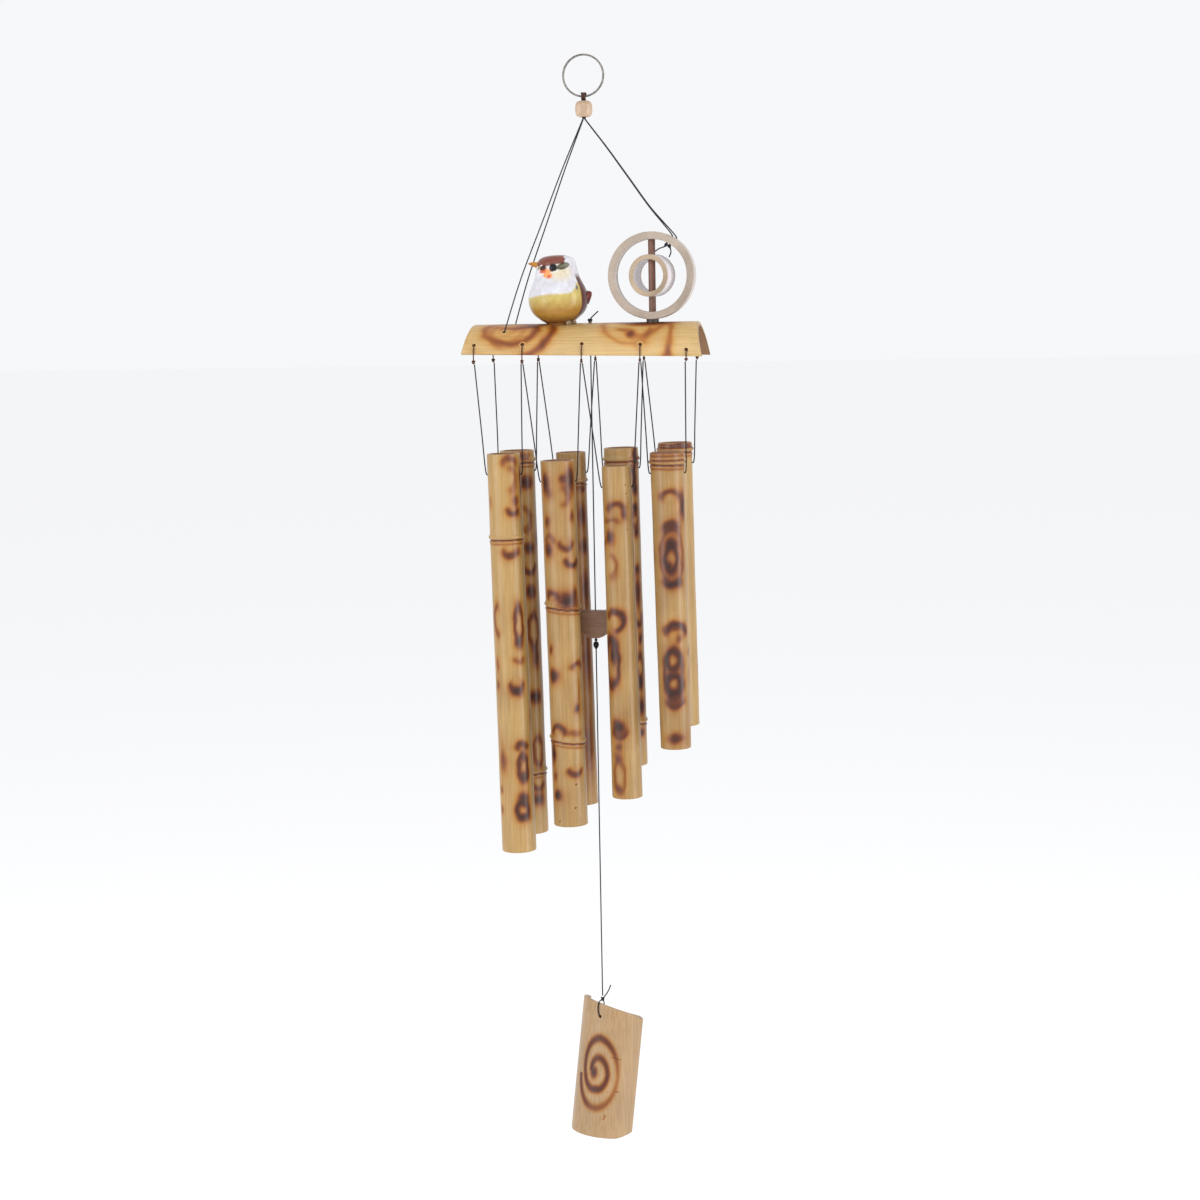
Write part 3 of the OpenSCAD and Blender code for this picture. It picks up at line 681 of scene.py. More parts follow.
# %% The bamboo's material
def grain_group():
    """Long fibres: noise stretched along the stalk by the scale that is given. Puts out fine streaks,
    broad clouds and small dark flecks."""
    group, start, end = node_group("bamboo grain", [("Stretch", "Vector", (1, 1, 0.03))],
                                   ("Streaks", "Clouds", "Flecks"))
    place = add(group, "ShaderNodeTexCoord").outputs["Object"]
    drawn = add(group, "ShaderNodeVectorMath", {0: place, 1: start.outputs["Stretch"]},
                operation="MULTIPLY").outputs[0]
    peak = maths(group, "MULTIPLY", maths(group, "SUBTRACT", noise(group, 2600.0, 2.0, drawn), 0.68), 6.0)
    give(group, end, {"Streaks": noise(group, 900.0, 5.0, drawn, Roughness=0.65),
                      "Clouds": noise(group, 38.0, 4.0, place),
                      "Flecks": maths(group, "MAXIMUM", peak, 0.0)})
    return group


grain = grain_group()


def grained(tree, stretch):
    """The grain's three outputs at one stretch."""
    fibres = add(tree, "ShaderNodeGroup", node_tree=grain)
    give(tree, fibres, {"Stretch": stretch})
    return [fibres.outputs[name] for name in ("Streaks", "Clouds", "Flecks")]


def bamboo_material(name, stretch=(1, 1, 0.03), pale=(0.345, 0.218, 0.08), tan=(0.20, 0.105, 0.038),
                    inner=(0.19, 0.095, 0.042)):
    """Lacquered bamboo: straw to tan by tone and cloud, streaked, then darkened by the scorch_and_shade
    number: flame marks and painted shade.
    """
    material, tree, shader = new_material(name)
    streaks, clouds, flecks = grained(tree, stretch)
    inside, scorch_and_shade = carried(tree, "inside"), carried(tree, "scorch_and_shade")
    cloud = swung(tree, clouds, 1.1, carried(tree, "tone"))
    ground = mixed(tree, maths(tree, "MINIMUM", maths(tree, "MAXIMUM", cloud, 0.0), 1.0), pale, tan)
    streak = ramp(tree, streaks, [(0.3, (0.70, 0.64, 0.53)), (0.62, (1.05, 1.04, 1.0))])
    ground = mixed(tree, 0.75, ground, streak, "MULTIPLY")
    ground = mixed(tree, flecks, ground, (0.16, 0.09, 0.04))
    ground = mixed(tree, inside, ground, inner)
    smoke = swung(tree, clouds, 0.5, swung(tree, streaks, 0.35, 0.0))
    weight = maths(tree, "MULTIPLY", scorch_and_shade, maths(tree, "ADD", smoke, 1.0))
    tint = ramp(tree, weight, [(0.0, (1, 1, 1)), (0.12, (0.93, 0.74, 0.48)), (0.28, (0.68, 0.36, 0.14)),
                               (0.52, (0.33, 0.115, 0.05)), (0.90, (0.10, 0.032, 0.023))])
    give(tree, shader, {
        "Base Color": mixed(tree, 1.0, ground, tint, "MULTIPLY"),
        "Roughness": maths(tree, "MAXIMUM", scaled(tree, streaks, 0.25, 0.26),
                           maths(tree, "MULTIPLY", inside, 0.75)),
        "Normal": bumped(tree, scaled(tree, scorch_and_shade, -0.15, streaks), 0.35, 0.0003),
        "Coat Weight": 0.15, "Coat Roughness": 0.2, "Specular IOR Level": 0.35})
    return material


bamboo = bamboo_material("scorched bamboo")
print("bamboo's grain:", [socket.name for socket in grain.interface.items_tree])

# %% Front row
# Each mark: kind, millimetres right of the tube's middle and below its top, half width, half height, depth
stalk("front", 0, [
    ("arch", 5, 8, 5, 5, 0.45), ("right", 4, 18, 5, 8, 0.35), ("spot", 8, 33, 3, 4, 0.6),
    ("cup", 6, 39, 3.5, 3.5, 0.75), ("spot", -10.5, 34, 2, 5, 0.3), ("cup", 3, 67, 5.5, 5, 0.55),
    ("spot", 2, 72, 3.5, 2, 0.35), ("left", -8, 118, 4, 10, 0.5), ("ring", 7, 121, 3.2, 12, 0.6),
    ("spot", 6, 134, 2.5, 3.5, 0.75), ("cup", 6, 145, 3, 3, 0.4), ("spot", -10, 150, 2, 5, 0.4),
    ("cup", 3.5, 163, 4.5, 6, 0.65), ("spot", 3.5, 169, 3, 3, 0.85), ("spot", -10.5, 165, 2, 4, 0.45),
    ("spot", -9, 220, 3.5, 9, 0.45), ("arch", 5.5, 211, 3.5, 3.5, 0.7), ("ring", 6, 225, 3.4, 8.5, 0.7),
    ("spot", 6.5, 231, 3, 3.5, 0.7), ("spot", 5.5, 247, 3.5, 3.5, 0.95), ("ring", 4.5, 256, 4, 5.5, 0.85),
    ("spot", 5, 261, 3.5, 2.5, 0.6), ("spot", -11, 241, 1.8, 3, 0.5),
    ("spot", -11, 256, 1.6, 3, 0.5)], 0.06)
stalk("front", 1, [
    ("spot", -9.5, 16, 3.2, 6.5, 0.85), ("spot", -7, 22, 2.5, 4, 0.4), ("spot", 9, 13, 3.6, 8, 0.95),
    ("spot", 4, 13, 3, 3, 0.6), ("right", 2, 25, 5, 6, 0.35), ("spot", -9, 43, 3, 4, 0.55),
    ("spot", 9, 39, 2.5, 4, 0.5), ("spot", -9, 63, 3.2, 5, 0.85), ("arch", -8, 57, 3, 4, 0.4),
    ("cup", 4, 57, 4.5, 5, 0.6), ("cup", 8, 70, 4.5, 4, 0.85), ("spot", 4, 99, 6.5, 5, 1.0),
    ("arch", -7.5, 97, 4, 4, 0.6), ("spot", 9, 94, 2.5, 4, 0.6), ("spot", -10, 134, 2.5, 4, 0.55),
    ("spot", -8.5, 153, 4, 4.5, 0.97), ("arch", 9, 148, 4.5, 4, 0.55), ("spot", 9.5, 165, 1.2, 9, 0.3),
    ("spot", 7.5, 176, 1.8, 3.2, 0.85), ("arch", -7, 194, 5, 5, 0.75), ("spot", 5, 194, 6, 2.5, 0.4),
    ("spot", -11, 208, 2.6, 7, 0.85), ("cup", 5, 220, 4.5, 4, 0.65), ("spot", 5.5, 223, 3, 2, 0.4),
    ("spot", -10, 226, 2, 4, 0.45), ("spot", -9, 239, 3.4, 3.5, 0.9)], 0.38, slope=1.6,
    worm_holes=[(5, 231, 0.7), (3.8, 248, 0.55), (0.6, 251.5, 0.35), (-8.6, 258, 0.6)])
stalk("front", 2, [
    ("arch", -1.5, 31, 5.5, 5, 0.6), ("spot", 4.5, 34, 1.6, 3, 0.6), ("arch", -5, 40, 4.5, 3, 0.35),
    ("spot", -6.5, 50, 3.2, 4.5, 0.9), ("right", -7, 70, 4.5, 8, 0.35),
    ("right", -4.5, 109, 6, 6.5, 0.85), ("arch", -5, 107, 5.5, 4.5, 0.6), ("spot", -7, 124, 3.5, 4, 0.5),
    ("ring", -8.5, 139, 6, 17, 0.7), ("spot", -7, 133, 2.6, 6, 0.85), ("spot", -6.5, 153, 3, 3, 0.5),
    ("spot", -5, 185, 4, 4.5, 0.97), ("cup", -4.5, 187, 5, 5, 0.5), ("spot", -5.5, 199, 3, 3, 0.55),
    ("spot", -6, 207, 3, 4, 0.45), ("ring", -5.5, 221, 4, 11, 0.35),
    ("spot", -6.5, 229, 2.2, 3, 0.45)], 0.36,
    worm_holes=[(6.3, 13, 0.45), (6.8, 19, 0.4), (6.8, 45, 0.35), (5.6, 225, 0.4)])
stalk("front", 3, [
    ("arch", 1, 32, 6.5, 5, 0.6), ("spot", 9.8, 37, 3, 8, 1.0), ("arch", 1, 54, 4.5, 5, 0.6),
    ("spot", 1, 53, 3, 2.5, 0.5), ("spot", 1.5, 64, 4, 4, 0.85), ("ring", 0.5, 74, 4.5, 9, 0.75),
    ("spot", -1.5, 79, 2.4, 3, 0.6), ("ring", 1, 72, 8.5, 20, 0.35), ("cup", 0.5, 89, 5, 4, 0.85),
    ("spot", 0.5, 92, 3, 2, 0.4), ("arch", 2.5, 127, 7.5, 6.5, 0.95), ("spot", 3, 123, 4, 2.5, 0.6),
    ("spot", 4.5, 131, 2.6, 3, 0.5), ("ring", -0.5, 146, 5, 6, 0.75), ("ring", -0.5, 163, 5, 6.5, 0.85),
    ("ring", -0.3, 156, 6.6, 18, 0.55), ("spot", -1.5, 169, 3, 2.6, 0.7), ("cup", 0, 174, 5.5, 5, 0.6),
    ("spot", -0.5, 202, 5.5, 3.5, 0.7)], 0.45,
    slope=0.4, bands=[(0.5, 0.45), (2.6, 0.5), (5.6, 0.6)])
print("front row of tubes")

# %% Back row
stalk("back", 0, [
    ("spot", 5, 4, 6, 3, 0.5), ("spot", 6, 23, 6, 4.5, 0.85), ("right", 4, 50, 5, 8, 0.45),
    ("spot", 7, 71, 4, 4, 0.8), ("cup", 7, 84, 5, 5, 0.7), ("spot", 7, 103, 4, 5, 0.85),
    ("ring", 8, 132, 4, 12, 0.5), ("spot", 9, 152, 3, 8, 0.6), ("spot", 7, 181, 5, 4.5, 0.95),
    ("ring", 8, 222, 4, 10, 0.5), ("cup", 7, 245, 5, 5, 0.6), ("spot", 6.5, 258, 5, 4.5, 0.9)],
    0.12)
stalk("back", 1, [
    ("spot", 8, 26, 5, 3, 0.5), ("spot", 7, 45, 4, 9, 0.6), ("spot", 8, 68, 4, 6, 0.7),
    ("spot", 8, 98, 4, 12, 0.6), ("spot", 7, 150, 4, 22, 0.55), ("spot", 6, 215, 4, 25, 0.4)], 0.5)
stalk("back", 2, [
    ("spot", 10, 6, 3, 8, 0.8), ("right", 6, 22, 4, 7, 0.8), ("spot", 10, 30, 2.5, 4, 0.85),
    ("spot", 9, 43, 3, 3, 0.9), ("ring", 9, 52, 3, 5, 0.5), ("spot", 10, 61, 3, 3.5, 0.95),
    ("spot", 9, 88, 4, 3.5, 0.7), ("spot", 9, 105, 3.5, 10, 0.8), ("cup", 9, 122, 4, 6, 0.7),
    ("spot", 10, 139, 2.5, 4, 0.9), ("ring", 9, 160, 3, 9, 0.7), ("spot", 9, 172, 3, 4, 0.9),
    ("spot", 9, 189, 4, 6, 0.85), ("spot", 8, 208, 4, 3, 0.75)], 0.22)
stalk("back", 3, [("spot", 3, 1.6, 9, 1.6, 0.6), ("spot", -10, 95, 2.5, 10, 0.3)], 0.12,
      bands=[(1.2, 0.6), (3.2, 0.75)])
print("back row of tubes")

# %% [markdown]
# ## The bar and the wind catcher
#
# Both are bamboo split in half. Each is one closed sheet: an arc outside, an arc
# inside, and rounded edges between them. The cord holes are dimples in the sheet: the
# grid has extra lines where a hole is, so its rim stays round.


# %% Grid lines that crowd together at the holes
def lines_with_holes(first, last, step, holes):
    """Even steps from first to last, and eight more lines within 1.5 of every hole."""
    near = np.array([-1.45, -1.15, -0.95, -0.6, 0.6, 0.95, 1.15, 1.45])
    extra = (np.asarray(holes, float)[:, None] + near).ravel()
    lines = np.unique(np.round(np.concatenate([np.arange(first, last, step), [last], extra]), 2))
    return lines[(lines >= first) & (lines <= last)]


HOLE_DEPTH, EDGE_ROUND, SHELL_STROKE = 2.2, 0.45, 3.4


def dimple(u, v, holes):
    """How far the sheet is pushed in: fully inside 0.95 of a hole's centre, not at all beyond 1.25."""
    pushed = np.zeros_like(u)
    for a, b in holes:
        s = np.clip((1.25 - np.hypot(u - a, v - b)) / 0.3, 0, 1)
        pushed = np.maximum(pushed, HOLE_DEPTH * s * s * (3 - 2 * s))
    return pushed


def half_shell(name, shape, u_lines, v_lines, marks, material, body, node, holes, wall, tone, burn_and_shade):
    """u runs round the arc and v along it, in millimetres on the outside. The outer sheet and the
    inner sheet share their edges, so the wall is closed all the way round. The marks and
    burn_and_shade, a function of u and v that holds flame marks and painted shade, darken it.
    Painted shade darkens each hole's dimple, and a pale worn ring surrounds each hole."""
    u, v = np.meshgrid(u_lines, v_lines, indexing="ij")
    pushed = dimple(u, v, holes)
    edge = np.minimum.reduce([u - u_lines[0], u_lines[-1] - u, v - v_lines[0], v_lines[-1] - v])
    near = np.clip(edge / EDGE_ROUND, 0, 1)
    soft = EDGE_ROUND * (1 - np.sqrt(np.clip(1 - (1 - near)**2, 0, 1)))
    sheets = [shape(u, v, pushed + soft), shape(u, v, np.full_like(u, wall))]
    points = np.concatenate(sheets).reshape(-1, 3)
    rows, cols = u.shape
    count = rows * cols
    faces = grid_faces(rows, cols, closed_cols=False)[0]
    numbers = np.arange(count).reshape(rows, cols)
    edge_ring = np.concatenate([numbers[0], numbers[1:, -1], numbers[-1, -2::-1], numbers[-2:0:-1, 0]])
    after = np.roll(edge_ring, -1)
    walls = np.stack([after, after + count, edge_ring + count, edge_ring], axis=1)
    every = np.concatenate([faces, faces[:, ::-1] + count, walls])
    scorch_and_shade = np.maximum(burnt(u, v, marks, SHELL_STROKE), burn_and_shade(u, v))
    # Painted shade: each hole's dimple is darkened, standing for the shade in the open hole.
    scorch_and_shade = np.where(pushed > 0.2, np.maximum(scorch_and_shade, np.clip(pushed, 0, 1)), scorch_and_shade)
    worn = np.zeros_like(u)
    for a, b in holes:
        worn = np.maximum(worn, bell(np.hypot(u - a, v - b) - 1.9, 0.5))
    piece = mesh_piece(name, points, every, points[:, ::2][every], {
        "scorch_and_shade": np.concatenate([(scorch_and_shade * (1 - 0.8 * worn)).ravel(), np.zeros(count)]),
        "inside": np.concatenate([np.zeros(count), np.ones(count)]),
        "tone": np.concatenate([(tone - 0.25 * worn).ravel(), np.full(count, tone)])})
    finish_piece(piece, material, body, node)


print("a hole is marked by", HOLE_DEPTH, "mm of dimple")


# %% The bar
EDGE_LEFT, EDGE_RIGHT, RIDGE_Z = -205.4, -209.2, -185.0
BAR_LEFT, BAR_RIGHT, SLANT = -87.3, 84.3, 5
BAR_LENGTH, HALF_ARC = 171.6, 37.0


def bar_sheet(u, v, inset):
    """u is the arc from the ridge, v the way along. The arc's angle is stretched so that its ends lie
    on the lower edge, which falls slightly to the right; the ends slant from the edge up to the
    shorter ridge."""
    t = v / BAR_LENGTH
    edge_z = EDGE_LEFT + (EDGE_RIGHT - EDGE_LEFT) * t
    widest = np.arccos(np.clip((edge_z - BAR_AXIS_Z) / BAR_R, -1, 1))
    angle = u / HALF_ARC * widest
    r = BAR_R - inset
    z = BAR_AXIS_Z + r * np.cos(angle)
    rise = np.clip((z - edge_z) / (RIDGE_Z - edge_z), 0, 1)
    x = BAR_LEFT + SLANT * rise + (BAR_RIGHT - BAR_LEFT - 2 * SLANT * rise) * t
    return np.stack([x, r * np.sin(angle), z], axis=-1)


def bar_place(x, turn):
    """The sheet's own (u, v) for a hole at x along the bar and an angle from the ridge."""
    t = (x - BAR_LEFT) / (BAR_RIGHT - BAR_LEFT)
    for _ in range(8):
        edge_z = EDGE_LEFT + (EDGE_RIGHT - EDGE_LEFT) * t
        z = BAR_AXIS_Z + BAR_R * math.cos(math.radians(turn))
        rise = (z - edge_z) / (RIDGE_Z - edge_z)
        t = (x - BAR_LEFT - SLANT * rise) / (BAR_RIGHT - BAR_LEFT - 2 * SLANT * rise)
    return math.radians(turn) / math.acos((edge_z - BAR_AXIS_Z) / BAR_R) * HALF_ARC, BAR_LENGTH * t


bar_holes = [bar_place(x, SIDE[row] * turn)
             for row in SIDE for x, turn in zip(HOLE_X[row], HOLE_TURN[row])]
bar_holes += [bar_place(-57.5, -39), bar_place(-57.5, 39), bar_place(STRING_X, 0)]


def bar_marks(s):
    """The flame marks of one side, -1 for the front and 1 for the back. Across runs round the bar from
    its ridge and down runs along it from its left end: ovals round the hanger's hole, then a
    spot and wider ovals under the ring."""
    return [("ring", s * 16, 29.8, 4, 4.6, 0.14), ("ring", s * 17, 29.8, 10.5, 11.7, 0.17),
            ("cup", s * 16, 30.5, 14, 20.5, 0.5), ("arch", s * 15, 30.5, 13, 18.5, 0.33),
            ("cup", s * 14, 30.8, 27, 33, 0.52), ("spot", s * 29, 58, 5, 2.2, 0.3),
            ("spot", s * 20, 122.5, 2.8, 3.2, 0.6), ("spot", s * 16, 116, 2.5, 6, 0.25),
            ("arch", s * 10, 127, 19, 26, 0.24), ("cup", s * 11, 127, 16, 9.5, 0.22),
            ("cup", s * 14, 127, 36, 25, 0.3), ("spot", s * 34, 149, 5, 2.6, 0.35)]


def ridge_burn_and_shadow(u, v):
    """The long dark lens under the big ring, partly a flame mark and partly painted shadow cast by the
    ring: a flat ellipse on the ridge.
    """
    return 0.85 * np.exp(-((u / 11)**2 + ((v - (RING_X - BAR_LEFT)) / 25)**2)**2)


bamboo_x = bamboo_material("split bamboo of the bar", stretch=(0.03, 1, 1), pale=(0.46, 0.315, 0.135),
                           tan=(0.34, 0.21, 0.085), inner=(0.22, 0.12, 0.06))
half_shell("bar_skin", bar_sheet,
           lines_with_holes(-HALF_ARC, HALF_ARC, 0.8, sorted({round(u, 2) for u, _ in bar_holes})),
           lines_with_holes(0, BAR_LENGTH, 0.9, [v for _, v in bar_holes]),
           bar_marks(-1) + bar_marks(1), bamboo_x, "frame", "bar", bar_holes, BAR_WALL, 0.05, ridge_burn_and_shadow)
print("bar holes:", len(bar_holes))


# %% The wind catcher
def catcher_shape(u, v, inset):
    """u is the arc from the front, v the way down. The top is sawn slantwise: its height falls to the
    right and towards the back. The lower corners and the top right one are rounded."""
    angle = u / CATCHER_R
    r = CATCHER_R - inset
    x = r * np.sin(angle)
    y = CATCHER_R - CATCHER_WALL / 2 - r * np.cos(angle)
    top = RIM_Z - 0.168 * x - 0.2126 * (y + CATCHER_WALL / 2)
    side = CATCHER_R + 1
    over = np.clip(np.abs(x) - (side - 8), 0, 8)
    low = RIM_Z - CATCHER_LENGTH + 8 - np.sqrt(64 - over**2)
    over_top = np.clip(x - (side - 6), 0, 6)
    top = top - (4 - np.sqrt(np.clip(16 - (over_top * 0.66)**2, 0, 16)))
    z = top + (low - top) * v / CATCHER_LENGTH
    return turned_catcher(np.stack([x, y, z], axis=-1).reshape(-1, 3)).reshape(*u.shape, 3)


def spiral_burn_and_crack_shade(u, v):
    """A flame-drawn spiral, two turns clockwise from the left of its heart. The line's distance from
    the heart and its strength are given at every quarter turn; the line is exp(-((s - r) / 1.75)^2),
    s being measured with heights shrunk by 1.65, since the spiral stands taller than wide. Thin dark
    lines are painted shade in cracks."""
    reach = [4, 6.7, 8.4, 7.5, 10.6, 15.6, 16, 16, 15.5]
    weight = [0.95, 0.6, 0.75, 0.9, 0.7, 0.75, 0.28, 0.4, 0.9]
    x, y = u - 1.7, (51 - v) / 1.65
    s, angle = np.hypot(x, y), np.arctan2(y, -x) % (2 * np.pi)
    burn_and_shade = np.zeros_like(u)
    for lap in range(3):
        quarter = (angle + 2 * np.pi * lap) / (np.pi / 2)
        r, q = (np.interp(quarter, np.arange(9), table) for table in (reach, weight))
        burn_and_shade = np.maximum(burn_and_shade, q * bell(s - r, 1.75) * (quarter < 7.9))
    heart = 0.98 * np.exp(-(((u + 0.6) / 2.6)**2 + ((v - 51.5) / 4.2)**2))
    # Cracks: thin dark lines painted as the shade inside them; the mesh is not cut.
    cracks = [(14, 37, 6, 0.25, 0.5), (17, 62, 3, 0.35, 0.9), (11.5, 64, 1.5, 0.3, 0.6),
              (0.5, 62.5, 1.5, 0.5, 0.4), (11, 82, 0.9, 0.7, 0.5), (-1.5, 7, 0.7, 0.6, 0.6)]
    for a, d, w, h, q in cracks:
        burn_and_shade = np.maximum(burn_and_shade, q * np.exp(-(((u - a) / w)**2 + ((v - d - 0.05 * (u - a)) / h)**2)**2))
    return np.maximum(burn_and_shade, heart)


bamboo_catcher = bamboo_material("split bamboo of the catcher", pale=(0.35, 0.23, 0.122),
                                 tan=(0.25, 0.158, 0.082), inner=(0.32, 0.20, 0.115))
edge_u = CATCHER_R * (math.pi / 2 + 0.02)
half_shell("wind_catcher_skin", catcher_shape, lines_with_holes(-edge_u, edge_u, 0.7, [0.0]),
           lines_with_holes(0, CATCHER_LENGTH, 0.7, [9.6]), [("spot", 10, 84, 0.8, 0.6, 0.5)],
           bamboo_catcher, "wind_catcher", "wind_catcher", [(0.0, 9.6)], CATCHER_WALL, 0.3, spiral_burn_and_crack_shade)
print("wind catcher made")

# %% [markdown]
# ## Rings, post, bead and striker
#
# These are turned or sawn pieces. The two rings are slices of bamboo whose sawn faces
# show the ends of the fibres; their outline is a rounded rectangle carried round a
# circle that is never quite true.


# %% Turned pieces
def turned(name, outline, centre, axis="z", lumps=0.0, n=96, spin=0.0, half_sawn=0.0):
    """The outline's (r, h) pairs carried round an axis; the radius is multiplied by
    1 + lumps (sin(2a + 0.6) + 0.5 sin 3a). Where |h| is under half_sawn the surface is marked as wall."""
    outline = np.asarray(outline, float)
    turn = np.linspace(0, 2 * np.pi, n, endpoint=False)[None, :]
    r = outline[:, 0][:, None] * (1 + lumps * (np.sin(2 * turn + 0.6) + 0.5 * np.sin(3 * turn)))
    h = outline[:, 1][:, None] + 0 * turn
    a, b = r * np.cos(turn), r * np.sin(turn)
    points = np.stack({"z": (a, b, h), "y": (a, h, b)}[axis], axis=-1).reshape(-1, 3)
    c, s = math.cos(spin), math.sin(spin)
    points = points @ np.array([[c, s, 0], [-s, c, 0], [0, 0, 1]]) + np.asarray(centre, float)
    faces, ci, cj = grid_faces(len(outline), n, closed_rows=True)
    run = np.concatenate([[0], np.cumsum(np.linalg.norm(np.diff(outline, axis=0), axis=1))])
    run = np.append(run, run[-1] + np.linalg.norm(outline[0] - outline[-1]))
    wall = np.clip((half_sawn - np.abs(outline[:, 1])) / 0.4, 0, 1)[:, None] + 0 * turn
    return mesh_piece(name, points, faces, np.stack([cj / n, run[ci]], axis=-1), {"wall": wall.ravel()})


def rounded_box(r_in, r_out, half_height, round_by, steps=5):
    """A rectangle from r_in to r_out whose corners are quarter circles."""
    quarter = np.linspace(0, np.pi / 2, steps)
    corners = []
    low, high, up = r_in + round_by, r_out - round_by, half_height - round_by
    for k, (r, h) in enumerate(((high, up), (low, up), (low, -up), (high, -up))):
        a = quarter + k * np.pi / 2
        corners.append(np.stack([r + round_by * np.cos(a), h + round_by * np.sin(a)], axis=-1))
    flat = np.concatenate(corners)
    return np.concatenate([np.linspace(flat[k], flat[(k + 1) % len(flat)], 5, endpoint=False)
                           if np.linalg.norm(flat[(k + 1) % len(flat)] - flat[k]) > 1 else flat[k:k + 1]
                           for k in range(len(flat))])


def wood_material(name, dark, light, scale=(1, 1, 0.08), size=1.0, rough=0.45, coat=0.0, pores=0.35,
                  wall=None):
    """Plain wood: streaks along one direction between two browns, with darker pores. A wall colour
    goes where the mesh is marked as wall."""
    material, tree, shader = new_material(name)
    streaks, clouds, flecks = grained(tree, tuple(s * size for s in scale))
    shade = scaled(tree, clouds, 0.8, maths(tree, "MULTIPLY", streaks, 0.6))
    colour = ramp(tree, shade, [(0.45, dark), (0.95, light)])
    pore = maths(tree, "MULTIPLY", flecks, pores)
    colour = mixed(tree, pore, colour, tuple(0.3 * c for c in dark))
    if wall:
        skin = mixed(tree, clouds, wall, tuple(0.7 * c for c in wall))
        colour = mixed(tree, carried(tree, "wall"), colour, skin)
    give(tree, shader, {"Base Color": colour, "Roughness": scaled(tree, streaks, 0.3, rough - 0.12),
                        "Normal": bumped(tree, streaks, 0.4, 0.0003), "Coat Weight": coat})
    return material


def recoloured(name, material):
    """A part of the solid model that keeps its shape and gets its own material."""
    slots = bpy.data.objects[name].data.materials
    slots.clear()
    slots.append(material)


ring_wood = wood_material("sawn bamboo", (0.19, 0.145, 0.11), (0.44, 0.365, 0.30), (1, 0.5, 1), 1.8,
                          0.6, wall=(0.50, 0.45, 0.42))
small_wood = wood_material("small sawn bamboo", (0.20, 0.14, 0.085), (0.42, 0.32, 0.22), (1, 0.3, 1),
                           1.8, 0.55, wall=(0.66, 0.62, 0.64))
rod_wood = wood_material("red-brown rod", (0.06, 0.022, 0.012), (0.18, 0.075, 0.042))
bead_wood = wood_material("bead wood", (0.26, 0.165, 0.10), (0.52, 0.38, 0.26), (1, 1, 0.2), 0.3,
                          0.4, 0.2, 0.15)
striker_wood = wood_material("striker wood", (0.13, 0.06, 0.03), (0.30, 0.165, 0.09), (0.08, 1, 1), 0.8,
                             0.45, 0.15)

ring_centre = (RING_X, 0, RING_Z)
finish_piece(turned("big_ring_skin", rounded_box(25.3, RING_R, 6, 0.5), ring_centre, "y", 0.003, 144,
                    half_sawn=5.8), ring_wood, "frame", "big_ring")
finish_piece(turned("small_ring_skin", rounded_box(11.3, 14.7, 7.5, 0.4), ring_centre, "y", 0.004,
                    spin=math.radians(-13.5), half_sawn=7.3), small_wood, "small_ring", "small_ring")
recoloured("ring_post", rod_wood)
print("rings made")

# %% The bead, the striker and the glue
bead_outline = [(1.85, 0.3), (2.6, 0.05), (3.6, 0.1), (4.7, 0.7), (5.5, 1.9), (5.9, 3.4), (6.0, 5.6),
                (5.9, 7.8), (5.5, 9.3), (4.7, 10.5), (3.6, 11.1), (2.6, 11.15), (1.85, 10.9)]
finish_piece(turned("top_bead_skin", smooth_route(bead_outline, 4), (0, 0, BEAD_LOW), n=64, lumps=0.006),
             bead_wood, "frame", "top_bead")


def rounded_slab(name, outline, half_depth, soft, centre):
    """A flat outline repeated at several depths; near each face it shrinks by soft (1 - sqrt(1 - s^2)),
    which rounds the edge. The two faces are closed by the shrunken outline."""
    outline = np.asarray(outline, float)
    middle = outline.mean(axis=0)
    s = np.linspace(0, 1, 6)
    near = half_depth - soft * (1 - np.sin(s * np.pi / 2))
    inset = soft * (1 - np.cos(s * np.pi / 2))
    depth = np.concatenate([-near[::-1], near])
    shrink = np.concatenate([inset[::-1], inset])
    out = outline - middle
    reach = np.linalg.norm(out, axis=1, keepdims=True)
    rings = [(d, 1 - k / reach) for d, k in zip(depth, shrink)]
    rings = [(depth[0], 0.02), *rings, (depth[-1], 0.02)]
    p = np.stack([np.c_[out * size, np.full(len(out), d)] for d, size in rings])
    points = np.stack([p[..., 0] + middle[0], p[..., 2], p[..., 1] + middle[1]], axis=-1).reshape(-1, 3)
    n = len(outline)
    faces, ci, cj = grid_faces(len(rings), n)
    uv = np.stack([cj / n, ci / len(rings)], axis=-1)
    last = (len(rings) - 1) * n
    return mesh_piece(name, points + np.asarray(centre, float), faces, uv,
                      caps=[np.arange(n)[::-1], last + np.arange(n)])


a = np.linspace(0.02, np.pi - 0.02, 60)
half_round = np.stack([16 * np.cos(a), -20 * np.sin(a)], axis=-1)
flat_top = np.stack([np.linspace(-15.6, 15.6, 24), np.zeros(24)], axis=-1)
striker_outline = np.concatenate([half_round, flat_top])
finish_piece(rounded_slab("striker_skin", striker_outline, 4.5, 0.9, (STRING_X, 0, -390.6)),
             striker_wood, "striker", "striker")


def mottled_material(name, scale, detail, stops, roughness, bump):
    """Colour, roughness (times, plus) and bump (strength, distance) that all follow one noise."""
    material, tree, shader = new_material(name)
    mottle = noise(tree, scale, detail)
    give(tree, shader, {"Base Color": ramp(tree, mottle, stops),
                        "Roughness": scaled(tree, mottle, *roughness),
                        "Normal": bumped(tree, mottle, *bump)})
    return material, tree, shader, mottle


# Glue under the big ring, coloured near black as painted shadow.
glue_and_shadow = mottled_material("dried glue", 900.0, 3.0, [(0.3, (0.012, 0.008, 0.006)), (0.7, (0.05, 0.03, 0.02))],
                        (0.3, 0.3), (0.6, 0.0004))[0]
recoloured("ring_glue", glue_and_shadow)
print("bead, striker and glue")

# %% [markdown]
# ## The hanging ring and its lashing
#
# The ring is a split ring: one wire wound twice round, so its two turns lie side by
# side and cross over once on each side. The lashing is cord wound round the wire and
# led down into the bead.

